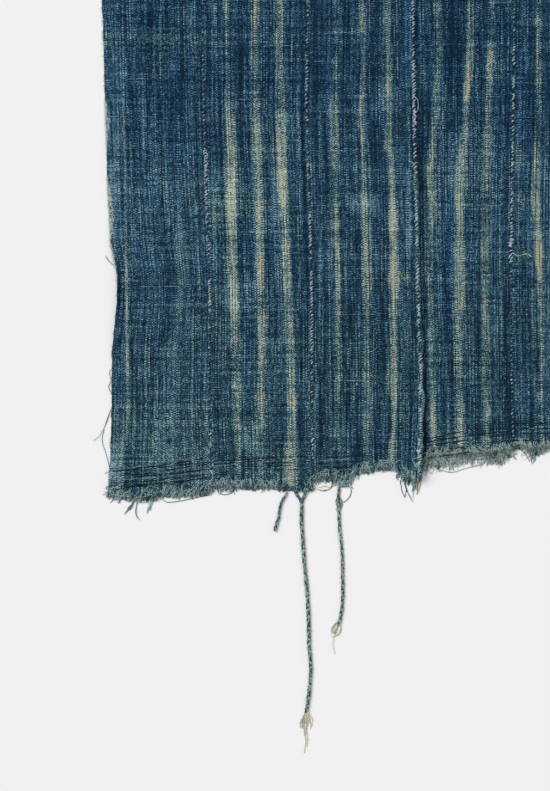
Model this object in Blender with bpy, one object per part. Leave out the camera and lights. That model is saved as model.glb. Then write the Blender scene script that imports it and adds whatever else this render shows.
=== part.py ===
"""A hand-woven cotton throw, lying face up on a flat surface.

Ten narrow strips of cloth are sewn edge to edge. The lower hem is torn and ragged: its loose warp
ends stand in short locks, and some are worked into one short twist and two three-strand plaits.
Metres, +Z up. +X runs across the strips and +Y runs from the ragged hem to the plain end.
"""

import math
import random

import bpy
from mathutils import Vector

MM = 0.001

# Driving sizes of the cloth.
STRIP_COUNT = 10
STRIP_WIDTH = 111.6 * MM
CLOTH_LENGTH = 1650 * MM
CLOTH_THICKNESS = 1.2 * MM
JOIN_GAP = 0.45 * MM
DETAILED_STRIPS = 5

# Where the first seams wander. One row for each edge line, counted from the left edge of the cloth.
# Each column is a height above the hem, and each value is how far the line stands to the right, in mm.
DRIFT_HEIGHTS = (0, 54, 108, 167, 216, 248, 281, 346, 432, 540, 700)
DRIFT = {
    0: (6, 9.7, 11.2, 11.6, 16.8, 17.3, 10.3, 6.8, 4.3, 0.8, 0),
    1: (9.2, 8.4, 5.8, 5.9, 6.1, 5.5, 4.5, 2.1, -0.8, -1.6, 0),
    2: (5.8, 5.5, 5.1, 4.6, 4.1, 3.8, 3.2, 1.9, -1.5, 0.3, 0),
    3: (9.5, 8.5, 10.3, 9.9, 7.5, 6.8, 6.4, 4.9, 3.0, 1.8, 0),
    4: (-1.6, -1.9, -2.5, -3.1, -3.6, -3.9, -3.8, -2.8, -1.1, -0.3, 0),
}
SWAY = 2.0 * MM
SWAY_LENGTH = 900 * MM
SWAY_FROM, SWAY_FULL = 600 * MM, 900 * MM
SWAY_PHASE = 0.17

# The torn hem is divided into locks of loose warp ends, evenly across each strip.
LOCKS_DETAILED, LOCKS_PLAIN = 22, 14
# Each row is a strip. Each pair is a lock's left side, counted from the left, and a height in mm.
HEM = {
    1: ((0, 13), (1, 11), (3, 10), (9, 9), (11, 14), (15, 13), (20, 15), (22, 17)),
    2: ((0, 23), (2, 22), (4, 25), (6, 22), (15, 21), (18, 18), (20, 16), (22, 19)),
    3: ((0, 30), (2, 32), (6, 30), (8, 34), (10, 40), (16, 42), (19, 33), (21, 28), (22, 30)),
    4: ((0, 44), (2, 52), (4, 56), (11, 57), (17, 58), (20, 61), (22, 62)),
    5: ((0, 64), (2, 66), (4, 62), (7, 65), (13, 66), (20, 68), (22, 68)),
    6: ((0, 69), (1, 69), (7, 66), (13, 69), (14, 70)),
    7: ((0, 68), (1, 68), (7, 69), (13, 64), (14, 63)),
    8: ((0, 63), (1, 62), (7, 58), (13, 57), (14, 56)),
    9: ((0, 54), (1, 54), (7, 52), (13, 47), (14, 46)),
    10: ((0, 46), (1, 45), (7, 40), (13, 40), (14, 39)),
}
HEM_BLEND = 110 * MM
PLAIN_END_STEP = 3.0 * MM
PLAIN_END_PHASE = 2.3

# Rows of each strip above its hem: close where the cloth is uneven, wider towards the plain end.
NEAR_ROWS_TOP = 600 * MM
NEAR_ROW_PITCH = 30 * MM
FAR_ROW_PITCH = 75 * MM

# Soft ridges that the cloth lies in, in mm: the centre, the half length and half width,
# the turn of the long side away from +Y in degrees towards -X, and the height.
FOLD_COLUMNS = ("x", "y", "half_length", "half_width", "turn", "height")
FOLDS = (
    (40, 12, 55, 40, 90, 2.5),
    (150, 16, 60, 42, 86, 2.2),
    (240, 24, 55, 45, 88, 2.0),
    (330, 42, 60, 45, 84, 3.0),
    (425, 60, 70, 60, 84, 4.5),
    (505, 66, 60, 60, 82, 4.0),
    (60, 330, 190, 30, 3, 1.8),
    (170, 250, 190, 30, -6, 1.6),
    (287, 330, 220, 32, 4, 1.8),
    (395, 300, 220, 34, -2, 2.4),
    (460, 230, 180, 32, 6, 2.0),
    (250, 820, 260, 60, 12, 4.0),
    (620, 420, 300, 60, -14, 4.5),
    (760, 900, 340, 64, 16, 5.0),
    (960, 380, 260, 56, -9, 4.0),
    (420, 1240, 260, 60, -20, 4.5),
    (900, 1400, 220, 56, 24, 4.0),
    (120, 1300, 240, 54, 8, 3.5),
    (640, 66, 90, 60, 86, 3.2),
    (850, 62, 100, 60, 88, 3.0),
    (1030, 50, 70, 60, 82, 3.0),
)

# The left edge curls up between two heights above the hem.
CURL_FROM, CURL_TO = 150 * MM, 310 * MM
CURL_HEIGHT = 4.2 * MM
CURL_SHARE = 0.1

# Sewn edges stand a little proud. The third seam stands up as a rib.
SEAM_LIFT = 0.9 * MM
SEAM_LIFT_LENGTH = 260 * MM
SEAM_LIFT_PHASE = 0.31
SEAM_SHARE = 0.07
RIB_SEAM = 3
RIB_HEIGHT = 3.6 * MM

# Loose warp ends at the ragged hem.
BAND_GAP = 0.5 * MM
BAND_DEPTH = 4.5 * MM
BAND_THICKNESS = 1.0 * MM
LOCK_TIP_WIDTH = 0.9 * MM
LOCK_THICKNESS = 0.8 * MM
LOCK_SHORTEST, LOCK_LONGEST = 2.0 * MM, 6.0 * MM
LOCK_LEAN = 1.3 * MM
LOCK_SEED = 100
# The longer locks.
LONG_LOCK_COLUMNS = ("strip", "lock", "length", "lean_to_right")
LONG_LOCKS = (
    (1, 4, 13, -5),
    (1, 6, 17, 1.5),
    (1, 9, 11, -5),
    (2, 3, 6, 1),
    (2, 18, 7, 3.1),
    (2, 20, 6, -3.1),
    (3, 7, 9, 1.5),
    (3, 18, 18, 5),
    (3, 21, 13, -1.6),
    (4, 17, 9, 1),
    (4, 20, 7, -1),
    (5, 5, 12, 1),
    (7, 5, 16, 3),
    (9, 9, 18, -3),
)
# Locks that are gathered into a plait or the twist, so only their band remains.
GATHERED = {2: (16, 19), 3: (5,)}

# Each cord leaves the band of a strip under one lock, or below two locks that lean together as legs.
# Its route is in mm, from the nominal left edge and from the line that the hem's heights start from.
# Its tuft's strands each have a lean to the right and a length, in mm.
CORDS = {
    "plait_long": {
        "strip": 2,
        "lock": 19,
        "legs": 6.5,
        "width": 5.4,
        "root_x": 216.6,
        "route": (
            (216.4, -17.1), (217.8, -39.1), (219.2, -61.1), (221.4, -83.2),
            (223.1, -105.2), (224.0, -127.3), (224.4, -149.5), (225.9, -168.2), (226.3, -178.7),
            (225.0, -196.3), (223.2, -212.8), (221.5, -224.4),
        ),
        "tuft": ((-6, 17), (-3, 11), (-1.5, 33), (0.5, 26), (3, 18), (5.5, 13)),
    },
    "plait_short": {
        "strip": 3,
        "lock": 5,
        "legs": 0,
        "width": 4.8,
        "root_x": 257.2,
        "route": (
            (256.0, 4.3), (256.7, -6.0), (257.3, -22.6), (259.4, -41.4),
            (260.7, -59.0), (261.1, -77.7), (261.4, -97.5), (260.0, -114.0), (256.7, -129.5),
        ),
        "tuft": ((-5, 11), (-2.5, 8), (-1, 25), (1, 13)),
    },
    "twist_short": {
        "strip": 2,
        "lock": 16,
        "legs": 0,
        "width": 3.6,
        "root_x": 201.6,
        "route": ((195.3, 4.1), (192.6, -5.8), (191.5, -13.6), (187.1, -27.9)),
        "tuft": (),
    },
}
CORD_SIDES = 6
CURVE_STEPS = 12
SHARP_ANGLE = math.radians(50)
CROSSING_LENGTH = 9 * MM
RINGS_PER_CROSSING = 4
RING_PITCH = CROSSING_LENGTH / RINGS_PER_CROSSING
CORD_FLATNESS = 0.78
CORD_LUMP = 0.14
CORD_ROOT_SHARE = 0.5
CORD_ROOT_LENGTH = 8 * MM
CORD_ROOT_GAP = 0.4 * MM
TUFT_SHARE = 0.8
TUFT_GAP = 0.5 * MM
TUFT_ROOT = 3.0 * MM
TUFT_ROOT_THICKNESS = 1.6 * MM
TUFT_TIP_WIDTH = 0.9 * MM
TUFT_TIP_THICKNESS = 0.7 * MM

INDIGO = (0.030, 0.060, 0.105)
FADED_INDIGO = (0.070, 0.140, 0.190)
UNDYED = (0.420, 0.420, 0.330)
ROUGHNESS = 0.95


def clear_scene():
    for obj in list(bpy.data.objects):
        bpy.data.objects.remove(obj)


def cloth_material(name, colour):
    material = bpy.data.materials.new(name)
    material.use_nodes = True
    shader = material.node_tree.nodes["Principled BSDF"]
    shader.inputs["Base Color"].default_value = (*colour, 1)
    shader.inputs["Roughness"].default_value = ROUGHNESS
    shader.inputs["Metallic"].default_value = 0.0
    return material


def ease(t):
    """0 to 1 with level ends."""
    t = min(1.0, max(0.0, t))
    return t * t * (3 - 2 * t)


def between(stops, values, at):
    """The value at a place among rising stops, straight from one to the next."""
    if at <= stops[0]:
        return values[0]
    for low, high, first, second in zip(stops, stops[1:], values, values[1:]):
        if at <= high:
            return first + (second - first) * (at - low) / (high - low)
    return values[-1]


def line_x(line, y):
    """Where an edge line between strips runs, from the nominal left edge."""
    sway = SWAY * math.sin(2 * math.pi * (y / SWAY_LENGTH + SWAY_PHASE * line))
    if line not in DRIFT:
        return line * STRIP_WIDTH + sway
    drift = between(DRIFT_HEIGHTS, DRIFT[line], y / MM) * MM
    return line * STRIP_WIDTH + drift + sway * ease((y - SWAY_FROM) / (SWAY_FULL - SWAY_FROM))


def lock_count(strip):
    return LOCKS_DETAILED if strip <= DETAILED_STRIPS else LOCKS_PLAIN


def hem_height(strip, lock):
    """The hem's height at a lock's left side."""
    locks, heights = zip(*HEM[strip])
    return between(locks, heights, lock) * MM


def strip_x(strip, share, y):
    left = line_x(strip - 1, y) + JOIN_GAP / 2
    right = line_x(strip, y) - JOIN_GAP / 2
    return left + (right - left) * share


def fold_height(x, y):
    """The sum of the soft ridges at one place."""
    total = 0.0
    for values in FOLDS:
        fold = dict(zip(FOLD_COLUMNS, values))
        turn = math.radians(fold["turn"])
        across, along = x / MM - fold["x"], y / MM - fold["y"]
        u = (across * math.cos(turn) + along * math.sin(turn)) / fold["half_width"]
        v = (along * math.cos(turn) - across * math.sin(turn)) / fold["half_length"]
        reach = u * u + v * v
        if reach < 1:
            total += fold["height"] * MM * (1 - reach) ** 2
    return total


def curl_height(strip, share, y):
    """How far the cloth's left edge curls up."""
    if strip != 1 or share >= CURL_SHARE:
        return 0.0
    middle, half = (CURL_FROM + CURL_TO) / 2, (CURL_TO - CURL_FROM) / 2
    along = max(0.0, 1 - ((y - middle) / half) ** 2)
    return CURL_HEIGHT * along * (1 - share / CURL_SHARE) ** 2


def seam_height(strip, share, y):
    """How far a sewn edge lifts its two strips, and the standing rib of one seam."""
    total = 0.0
    for line, away in ((strip - 1, share), (strip, 1 - share)):
        if line in (0, STRIP_COUNT) or away >= SEAM_SHARE:
            continue
        wave = 0.5 + 0.5 * math.sin(2 * math.pi * (y / SEAM_LIFT_LENGTH + SEAM_LIFT_PHASE * line))
        lift = SEAM_LIFT * wave
        if line == RIB_SEAM:
            lift += RIB_HEIGHT * (0.75 + 0.25 * wave)
        total += lift * (1 - ease(away / SEAM_SHARE))
    return total


def underside(strip, share, y):
    x = strip_x(strip, share, y)
    return fold_height(x, y) + curl_height(strip, share, y) + seam_height(strip, share, y)


def thick_sheet(name, points, triangles, thicknesses, material):
    """A closed sheet: triangles seen from above, as an underside and a top joined round the rim."""
    count = len(points)
    tops = [(x, y, z + t) for (x, y, z), t in zip(points, thicknesses)]
    faces = [(c, b, a) for a, b, c in triangles]
    faces += [(a + count, b + count, c + count) for a, b, c in triangles]
    edges = {edge for a, b, c in triangles for edge in ((a, b), (b, c), (c, a))}
    for a, b in sorted(edges):
        if (b, a) not in edges:
            faces += [(a, b, b + count), (a, b + count, a + count)]
    return add_mesh(name, list(points) + tops, faces, material)


def add_mesh(name, points, faces, material):
    mesh = bpy.data.meshes.new(name)
    mesh.from_pydata(points, [], faces)
    mesh.materials.append(material)
    mesh.update()
    obj = bpy.data.objects.new(name, mesh)
    bpy.context.scene.collection.objects.link(obj)
    return obj


def row_heights(strip):
    """Heights of a strip's rows above the line of the hem, before the hem pulls the first ones."""
    pitch = NEAR_ROW_PITCH if strip <= DETAILED_STRIPS else 2 * NEAR_ROW_PITCH
    near = round(NEAR_ROWS_TOP / pitch)
    far = round((CLOTH_LENGTH - NEAR_ROWS_TOP) / FAR_ROW_PITCH)
    heights = [NEAR_ROWS_TOP * i / near for i in range(near)]
    heights += [NEAR_ROWS_TOP + (CLOTH_LENGTH - NEAR_ROWS_TOP) * i / far for i in range(far + 1)]
    heights[-1] += PLAIN_END_STEP * math.sin(PLAIN_END_PHASE * strip)
    return heights


def make_strip(strip, material):
    """One woven strip, from its torn hem to its plain end."""
    locks = [lock for lock, _ in HEM[strip]]
    points = []
    for height in row_heights(strip):
        pull = max(0.0, 1 - height / HEM_BLEND)
        for lock in locks:
            share = lock / lock_count(strip)
            y = height + hem_height(strip, lock) * pull
            points.append((strip_x(strip, share, y), y, underside(strip, share, y)))
    wide = len(locks)
    triangles = []
    for row in range(len(points) // wide - 1):
        for column in range(wide - 1):
            a = row * wide + column
            b, c, d = a + 1, a + wide + 1, a + wide
            triangles += [(a, b, c), (a, c, d)]
    return thick_sheet(
        f"strip_{strip:02d}", points, triangles, [CLOTH_THICKNESS] * len(points), material
    )


def band_point(strip, lock, depth):
    """A point on the ragged band, as far below the hem as given, level with the cloth there."""
    hem = hem_height(strip, lock)
    y = hem - BAND_GAP - depth
    share = lock / lock_count(strip)
    return (strip_x(strip, share, y), y, underside(strip, share, hem))


def lock_forms(strip):
    """The length and lean of each lock. Those beside a long or a gathered one are the shortest."""
    chance = random.Random(LOCK_SEED + strip)
    forms = [
        (chance.uniform(LOCK_SHORTEST, LOCK_LONGEST), chance.uniform(-LOCK_LEAN, LOCK_LEAN))
        for _ in range(lock_count(strip))
    ]
    long_locks = [dict(zip(LONG_LOCK_COLUMNS, row)) for row in LONG_LOCKS if row[0] == strip]
    gathered = GATHERED.get(strip, ())
    for lock in [row["lock"] for row in long_locks] + list(gathered):
        for neighbour in (lock - 1, lock + 1):
            if 0 <= neighbour < len(forms):
                forms[neighbour] = (LOCK_SHORTEST, 0.0)
    for row in long_locks:
        forms[row["lock"]] = (row["length"] * MM, row["lean_to_right"] * MM)
    for lock in gathered:
        forms[lock] = None
    return forms


def make_fray(strip, material):
    """The torn ends of one strip: a narrow band with tapered locks that lie down on the surface."""
    forms = lock_forms(strip)
    points, triangles = [], []
    for lock in range(len(forms) + 1):
        points += [band_point(strip, lock, 0), band_point(strip, lock, BAND_DEPTH)]
    thicknesses = [BAND_THICKNESS] * len(points)
    for lock, form in enumerate(forms):
        top_left, low_left, top_right, low_right = range(2 * lock, 2 * lock + 4)
        triangles += [(low_left, low_right, top_right), (low_left, top_right, top_left)]
        if form is None:
            continue
        length, lean = form
        middle = (points[low_left][0] + points[low_right][0]) / 2 + lean
        low = min(points[low_left][1], points[low_right][1]) - length
        tip = len(points)
        points += [(middle - LOCK_TIP_WIDTH / 2, low, 0.0), (middle + LOCK_TIP_WIDTH / 2, low, 0.0)]
        thicknesses += [LOCK_THICKNESS] * 2
        triangles += [(tip, tip + 1, low_right), (tip, low_right, low_left)]
    return thick_sheet(f"fray_{strip:02d}", points, triangles, thicknesses, material)


def curve_point(before, first, second, after, t):
    """A point on the smooth curve that passes from the first to the second stop."""
    return 0.5 * (
        2 * first
        + (second - before) * t
        + (2 * before - 5 * first + 4 * second - after) * t**2
        + (3 * first - 3 * second + after - before) * t**3
    )


def smooth_route(stops, step):
    """Points about a step apart on a smooth curve through the stops."""
    padded = [2 * stops[0] - stops[1], *stops, 2 * stops[-1] - stops[-2]]
    line = [
        curve_point(*four, i / CURVE_STEPS)
        for four in zip(padded, padded[1:], padded[2:], padded[3:])
        for i in range(CURVE_STEPS)
    ]
    line.append(stops[-1])
    lengths = [0.0]
    for a, b in zip(line, line[1:]):
        lengths.append(lengths[-1] + (b - a).length)
    count = round(lengths[-1] / step)
    places = [lengths[-1] * i / count for i in range(count + 1)]
    return [Vector([between(lengths, [p[k] for p in line], at) for k in range(3)]) for at in places]


def cord_route(cord):
    """The middle line of a cord, which comes down from the hem on to the surface."""
    half_height = cord["width"] * MM * CORD_FLATNESS / 2 * (1 + CORD_LUMP)
    _, y, z = band_point(cord["strip"], cord["lock"] + 0.5, BAND_DEPTH)
    if cord["legs"]:
        y -= cord["legs"] * MM
        z = 0.0
    root_z = max(z + BAND_THICKNESS / 2, half_height * CORD_ROOT_SHARE)
    stops = [Vector((cord["root_x"] * MM, y - CORD_ROOT_GAP, 0))]
    stops += [Vector((x * MM, y * MM, 0)) for x, y in cord["route"]]
    route = smooth_route(stops, RING_PITCH)
    for ring, place in enumerate(route):
        place.z = root_z + (half_height - root_z) * ease(ring * RING_PITCH / CORD_ROOT_LENGTH)
    return route


def ring_swell(ring, angle, is_plait):
    """A plait swells on its two sides in turn. A twist swells on two opposite sides that turn."""
    phase = 2 * math.pi * ring / RINGS_PER_CROSSING
    if is_plait:
        return 1 + CORD_LUMP * math.cos(phase + math.pi * (math.cos(angle) < 0))
    return 1 + CORD_LUMP * math.cos(phase + 2 * angle)


def make_cord(name, cord, route, material):
    """A cord with its lumps, narrow at its root."""
    wide, high = cord["width"] * MM / 2, cord["width"] * MM * CORD_FLATNESS / 2
    points = []
    for ring, place in enumerate(route):
        ahead = route[min(ring + 1, len(route) - 1)] - route[max(ring - 1, 0)]
        side = Vector((ahead.y, -ahead.x, 0)).normalized()
        size = CORD_ROOT_SHARE + (1 - CORD_ROOT_SHARE) * ease(ring * RING_PITCH / CORD_ROOT_LENGTH)
        for k in range(CORD_SIDES):
            angle = 2 * math.pi * (k + 0.5) / CORD_SIDES
            swell = size * ring_swell(ring, angle, name.startswith("plait"))
            offset = side * (wide * swell * math.cos(angle))
            points.append(place + offset + Vector((0, 0, high * swell * math.sin(angle))))
    faces = [tuple(range(CORD_SIDES))]
    for ring in range(len(route) - 1):
        for k in range(CORD_SIDES):
            a, b = ring * CORD_SIDES + k, ring * CORD_SIDES + (k + 1) % CORD_SIDES
            faces.append((a, a + CORD_SIDES, b + CORD_SIDES, b))
    last = (len(route) - 1) * CORD_SIDES
    faces.append(tuple(reversed(range(last, last + CORD_SIDES))))
    obj = add_mesh(name, points, faces, material)
    obj.data.shade_smooth()
    obj.data.set_sharp_from_angle(angle=SHARP_ANGLE)


def make_tuft(name, cord, route, material):
    """The loose ends of a plait: a short root against its end, and strands that lie level."""
    ahead = (route[-1] - route[-2]).normalized()
    side = Vector((-ahead.y, ahead.x, 0)).normalized()
    width = cord["width"] * MM
    half = width / 2 * TUFT_SHARE
    count = len(cord["tuft"])
    root = route[-1] + ahead * TUFT_GAP
    top_thickness = width * CORD_FLATNESS * TUFT_SHARE
    points, thicknesses, triangles = [], [], []
    for i in range(count + 1):
        offset = side * (half * (2 * i / count - 1))
        for depth, thickness in ((0, top_thickness), (TUFT_ROOT, TUFT_ROOT_THICKNESS)):
            place = root + offset + ahead * depth
            points.append((place.x, place.y, 0.0))
            thicknesses.append(thickness)
    for i, (lean, length) in enumerate(cord["tuft"]):
        top_left, low_left, top_right, low_right = range(2 * i, 2 * i + 4)
        triangles += [(low_left, low_right, top_right), (low_left, top_right, top_left)]
        middle = root + side * (half * ((2 * i + 1) / count - 1) + lean * MM)
        middle += ahead * (TUFT_ROOT + length * MM)
        tip = len(points)
        for end in (-0.5, 0.5):
            place = middle + side * (end * TUFT_TIP_WIDTH)
            points.append((place.x, place.y, 0.0))
            thicknesses.append(TUFT_TIP_THICKNESS)
        triangles += [(tip, tip + 1, low_right), (tip, low_right, low_left)]
    thick_sheet(name, points, triangles, thicknesses, material)


def centre_on_footprint():
    """Moves everything so that the cloth, with its ragged ends, stands centred on the origin."""
    corners = [
        vertex.co
        for obj in bpy.data.objects
        if obj.name.startswith(("strip", "fray"))
        for vertex in obj.data.vertices
    ]
    xs, ys = [c.x for c in corners], [c.y for c in corners]
    middle = Vector(((min(xs) + max(xs)) / 2, (min(ys) + max(ys)) / 2, 0))
    for obj in bpy.data.objects:
        for vertex in obj.data.vertices:
            vertex.co -= middle


def main():
    clear_scene()
    indigo = cloth_material("indigo_cotton", INDIGO)
    faded = cloth_material("faded_ends", FADED_INDIGO)
    undyed = cloth_material("undyed_ends", UNDYED)
    for strip in range(1, STRIP_COUNT + 1):
        make_strip(strip, indigo)
        make_fray(strip, faded)
    for name, cord in CORDS.items():
        route = cord_route(cord)
        make_cord(name, cord, route, faded)
        if cord["tuft"]:
            make_tuft(name.replace("plait", "tuft"), cord, route, undyed)
    centre_on_footprint()


main()
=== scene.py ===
"""The looks of a hand-woven cotton throw: its cloth, seams, torn ends, plaits, floor, light and camera.

Lengths are in mm until they reach a mesh. x runs to the right from the cloth's nominal left edge, and
y runs up from the line that the hem's heights start from. Colours in tables run from 0 to 255.
"""

import functools
import math
import random

import bpy
import numpy as np
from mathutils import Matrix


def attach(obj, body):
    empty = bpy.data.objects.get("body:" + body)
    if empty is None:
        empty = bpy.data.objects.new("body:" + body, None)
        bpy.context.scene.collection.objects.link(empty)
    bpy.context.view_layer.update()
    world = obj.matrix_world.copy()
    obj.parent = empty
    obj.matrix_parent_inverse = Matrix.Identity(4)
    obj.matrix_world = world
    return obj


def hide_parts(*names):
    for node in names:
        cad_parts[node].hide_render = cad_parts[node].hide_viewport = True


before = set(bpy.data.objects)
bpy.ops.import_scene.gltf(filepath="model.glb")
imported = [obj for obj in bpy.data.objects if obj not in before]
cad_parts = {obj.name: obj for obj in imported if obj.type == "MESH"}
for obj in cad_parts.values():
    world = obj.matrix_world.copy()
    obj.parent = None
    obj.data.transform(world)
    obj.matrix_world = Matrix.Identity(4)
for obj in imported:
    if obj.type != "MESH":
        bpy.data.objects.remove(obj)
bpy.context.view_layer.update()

MM = 0.001

# Where the sheet's zero lies in the model.
SHEET_LEFT, SHEET_BASE = -557.995, -820.108

# The picture's frame, the mm of floor that one of its pixels covers, and where the sheet's zero
# stands in it. A place in the picture is u to the right and v down.
PICTURE_WIDTH, PICTURE_HEIGHT = 550, 791
PIXEL = 1.08
ZERO_U, ZERO_V = 101.0, 505.0
CAMERA_HEIGHT = 2400.0
SENSOR_WIDTH = 36.0
# The light: the strength of the even light and of the sun, and the sun's width and turns in degrees.
SKY_STRENGTH, SUN_STRENGTH = 0.5, 2.33
SUN_WIDTH, SUN_TURN = 34, (-30, -42, 0)
FLOOR_REACH = 6.0

# The cloth's sizes, as in the solids.
STRIP_COUNT = 10
STRIP_WIDTH = 111.6
CLOTH_LENGTH = 1650.0
CLOTH_THICKNESS = 1.2
JOIN_GAP = 0.45
DETAILED_STRIPS = 5
# How far each edge line between strips drifts to the right, at these heights on the sheet. The
# widest drift is a little more than any of them.
WIDEST_DRIFT = 20.0
DRIFT_HEIGHTS = (0, 54, 108, 167, 216, 248, 281, 346, 432, 540, 700)
DRIFT = {
    0: (6, 9.7, 11.2, 11.6, 16.8, 17.3, 10.3, 6.8, 4.3, 0.8, 0),
    1: (9.2, 8.4, 5.8, 5.9, 6.1, 5.5, 4.5, 2.1, -0.8, -1.6, 0),
    2: (5.8, 5.5, 5.1, 4.6, 4.1, 3.8, 3.2, 1.9, -1.5, 0.3, 0),
    3: (9.5, 8.5, 10.3, 9.9, 7.5, 6.8, 6.4, 4.9, 3.0, 1.8, 0),
    4: (-1.6, -1.9, -2.5, -3.1, -3.6, -3.9, -3.8, -2.8, -1.1, -0.3, 0),
}
SWAY = 2.0
SWAY_LENGTH = 900.0
SWAY_FROM, SWAY_FULL = 600.0, 900.0
SWAY_PHASE = 0.17
LOCKS_DETAILED, LOCKS_PLAIN = 22, 14
# Each row is a strip. Each pair is a lock's left side, counted from the left, and the hem's height.
HEM = {
    1: ((0, 13), (1, 11), (3, 10), (9, 9), (11, 14), (15, 13), (20, 15), (22, 17)),
    2: ((0, 23), (2, 22), (4, 25), (6, 22), (15, 21), (18, 18), (20, 16), (22, 19)),
    3: ((0, 30), (2, 32), (6, 30), (8, 34), (10, 40), (16, 42), (19, 33), (21, 28), (22, 30)),
    4: ((0, 44), (2, 52), (4, 56), (11, 57), (17, 58), (20, 61), (22, 62)),
    5: ((0, 64), (2, 66), (4, 62), (7, 65), (13, 66), (20, 68), (22, 68)),
    6: ((0, 69), (1, 69), (7, 66), (13, 69), (14, 70)),
    7: ((0, 68), (1, 68), (7, 69), (13, 64), (14, 63)),
    8: ((0, 63), (1, 62), (7, 58), (13, 57), (14, 56)),
    9: ((0, 54), (1, 54), (7, 52), (13, 47), (14, 46)),
    10: ((0, 46), (1, 45), (7, 40), (13, 40), (14, 39)),
}
HEM_BLEND = 110.0
PLAIN_END_STEP = 3.0
PLAIN_END_PHASE = 2.3
# The soft ridges. Each has its middle, its half length and half width, its turn in degrees and its height.
FOLD_COLUMNS = ("x", "y", "half_length", "half_width", "turn", "height")
FOLDS = (
    (40, 12, 55, 40, 90, 2.5),
    (150, 16, 60, 42, 86, 2.2),
    (240, 24, 55, 45, 88, 2.0),
    (330, 42, 60, 45, 84, 3.0),
    (425, 60, 70, 60, 84, 4.5),
    (505, 66, 60, 60, 82, 4.0),
    (60, 330, 190, 30, 3, 1.8),
    (170, 250, 190, 30, -6, 1.6),
    (287, 330, 220, 32, 4, 1.8),
    (395, 300, 220, 34, -2, 2.4),
    (460, 230, 180, 32, 6, 2.0),
    (250, 820, 260, 60, 12, 4.0),
    (620, 420, 300, 60, -14, 4.5),
    (760, 900, 340, 64, 16, 5.0),
    (960, 380, 260, 56, -9, 4.0),
    (420, 1240, 260, 60, -20, 4.5),
    (900, 1400, 220, 56, 24, 4.0),
    (120, 1300, 240, 54, 8, 3.5),
    (640, 66, 90, 60, 86, 3.2),
    (850, 62, 100, 60, 88, 3.0),
    (1030, 50, 70, 60, 82, 3.0),
)
CURL_FROM, CURL_TO = 150.0, 310.0
CURL_HEIGHT = 4.2
CURL_SHARE = 0.1
SEAM_LIFT = 0.9
SEAM_LIFT_LENGTH = 260.0
SEAM_LIFT_PHASE = 0.31
SEAM_SHARE = 0.07
RIB_SEAM = 3
RIB_HEIGHT = 3.6
WIDE_RIPPLE, FINE_RIPPLE = 0.9, 0.35

# The cords' routes from the root down, within a millimetre of the solids'.
CORDS = {
    "plait_long": {
        "lay": "plait",
        "width": 5.4,
        "root_z": 1.2,
        "route": (
            (216.6, 4.6), (216.4, -17.1), (217.8, -39.1), (219.2, -61.1), (221.4, -83.2),
            (223.1, -105.2), (224.0, -127.3), (224.4, -149.5), (225.9, -168.2), (226.3, -178.7),
            (225.0, -196.3), (223.2, -212.8), (221.5, -224.4),
        ),
    },
    "plait_short": {
        "lay": "plait",
        "width": 4.8,
        "root_z": 1.6,
        "route": (
            (257.2, 24.8), (256.0, 4.3), (256.7, -6.0), (257.3, -22.6), (259.4, -41.4),
            (260.4, -59.0), (260.6, -77.7), (260.8, -97.5), (259.6, -114.0), (256.5, -129.5),
        ),
    },
    "twist_short": {
        "lay": "twist",
        "width": 3.6,
        "root_z": 1.4,
        "route": (
            (201.6, 14.1), (195.3, 4.1), (192.6, -5.8), (191.5, -13.6), (187.1, -27.9),
        ),
    },
}
CORD_STEP = 1.0
CORD_ROOT_LENGTH = 8.0
CORD_ROOT_SHARE = 0.5
# Hairs for each mm of a cord, where they leave it as a share of its width, and their reach and radius.
CORD_HAIRS, CORD_HAIR_ROOT = 0.8, 0.42
CORD_HAIR_REACH, CORD_HAIR_RADIUS = (0.5, 1.6), 0.09
CROSSING_LENGTH = 4.2
# How strands lie in a cord: how many, how thick they are and how far they swing to the sides and
# lift, as shares of the cord's width, the length of a turn in mm, and how far the end has opened.
LAY_COLUMNS = ("strands", "strand", "swing", "lift", "turn", "opened")
LAYS = {
    "plait": (3, 0.18, 0.2, 0.1, 3 * CROSSING_LENGTH, 0.0),
    "twist": (2, 0.24, 0.24, 0.16, 11.0, 0.35),
}
CORD_SIDES, CORD_TAPER = 10, 0.7
# A cord's least width and what swells add to it, from where along it and how fast its end opens, and
# the tone of its first strand with the step to the next.
CORD_THIN, CORD_SWELL, CORD_SWELL_LENGTH = 0.88, 0.24, 13.0
OPEN_FROM, OPEN_LENGTH = 0.45, 10
STRAND_TONE, STRAND_TONE_STEP = 0.38, 0.12

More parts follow.
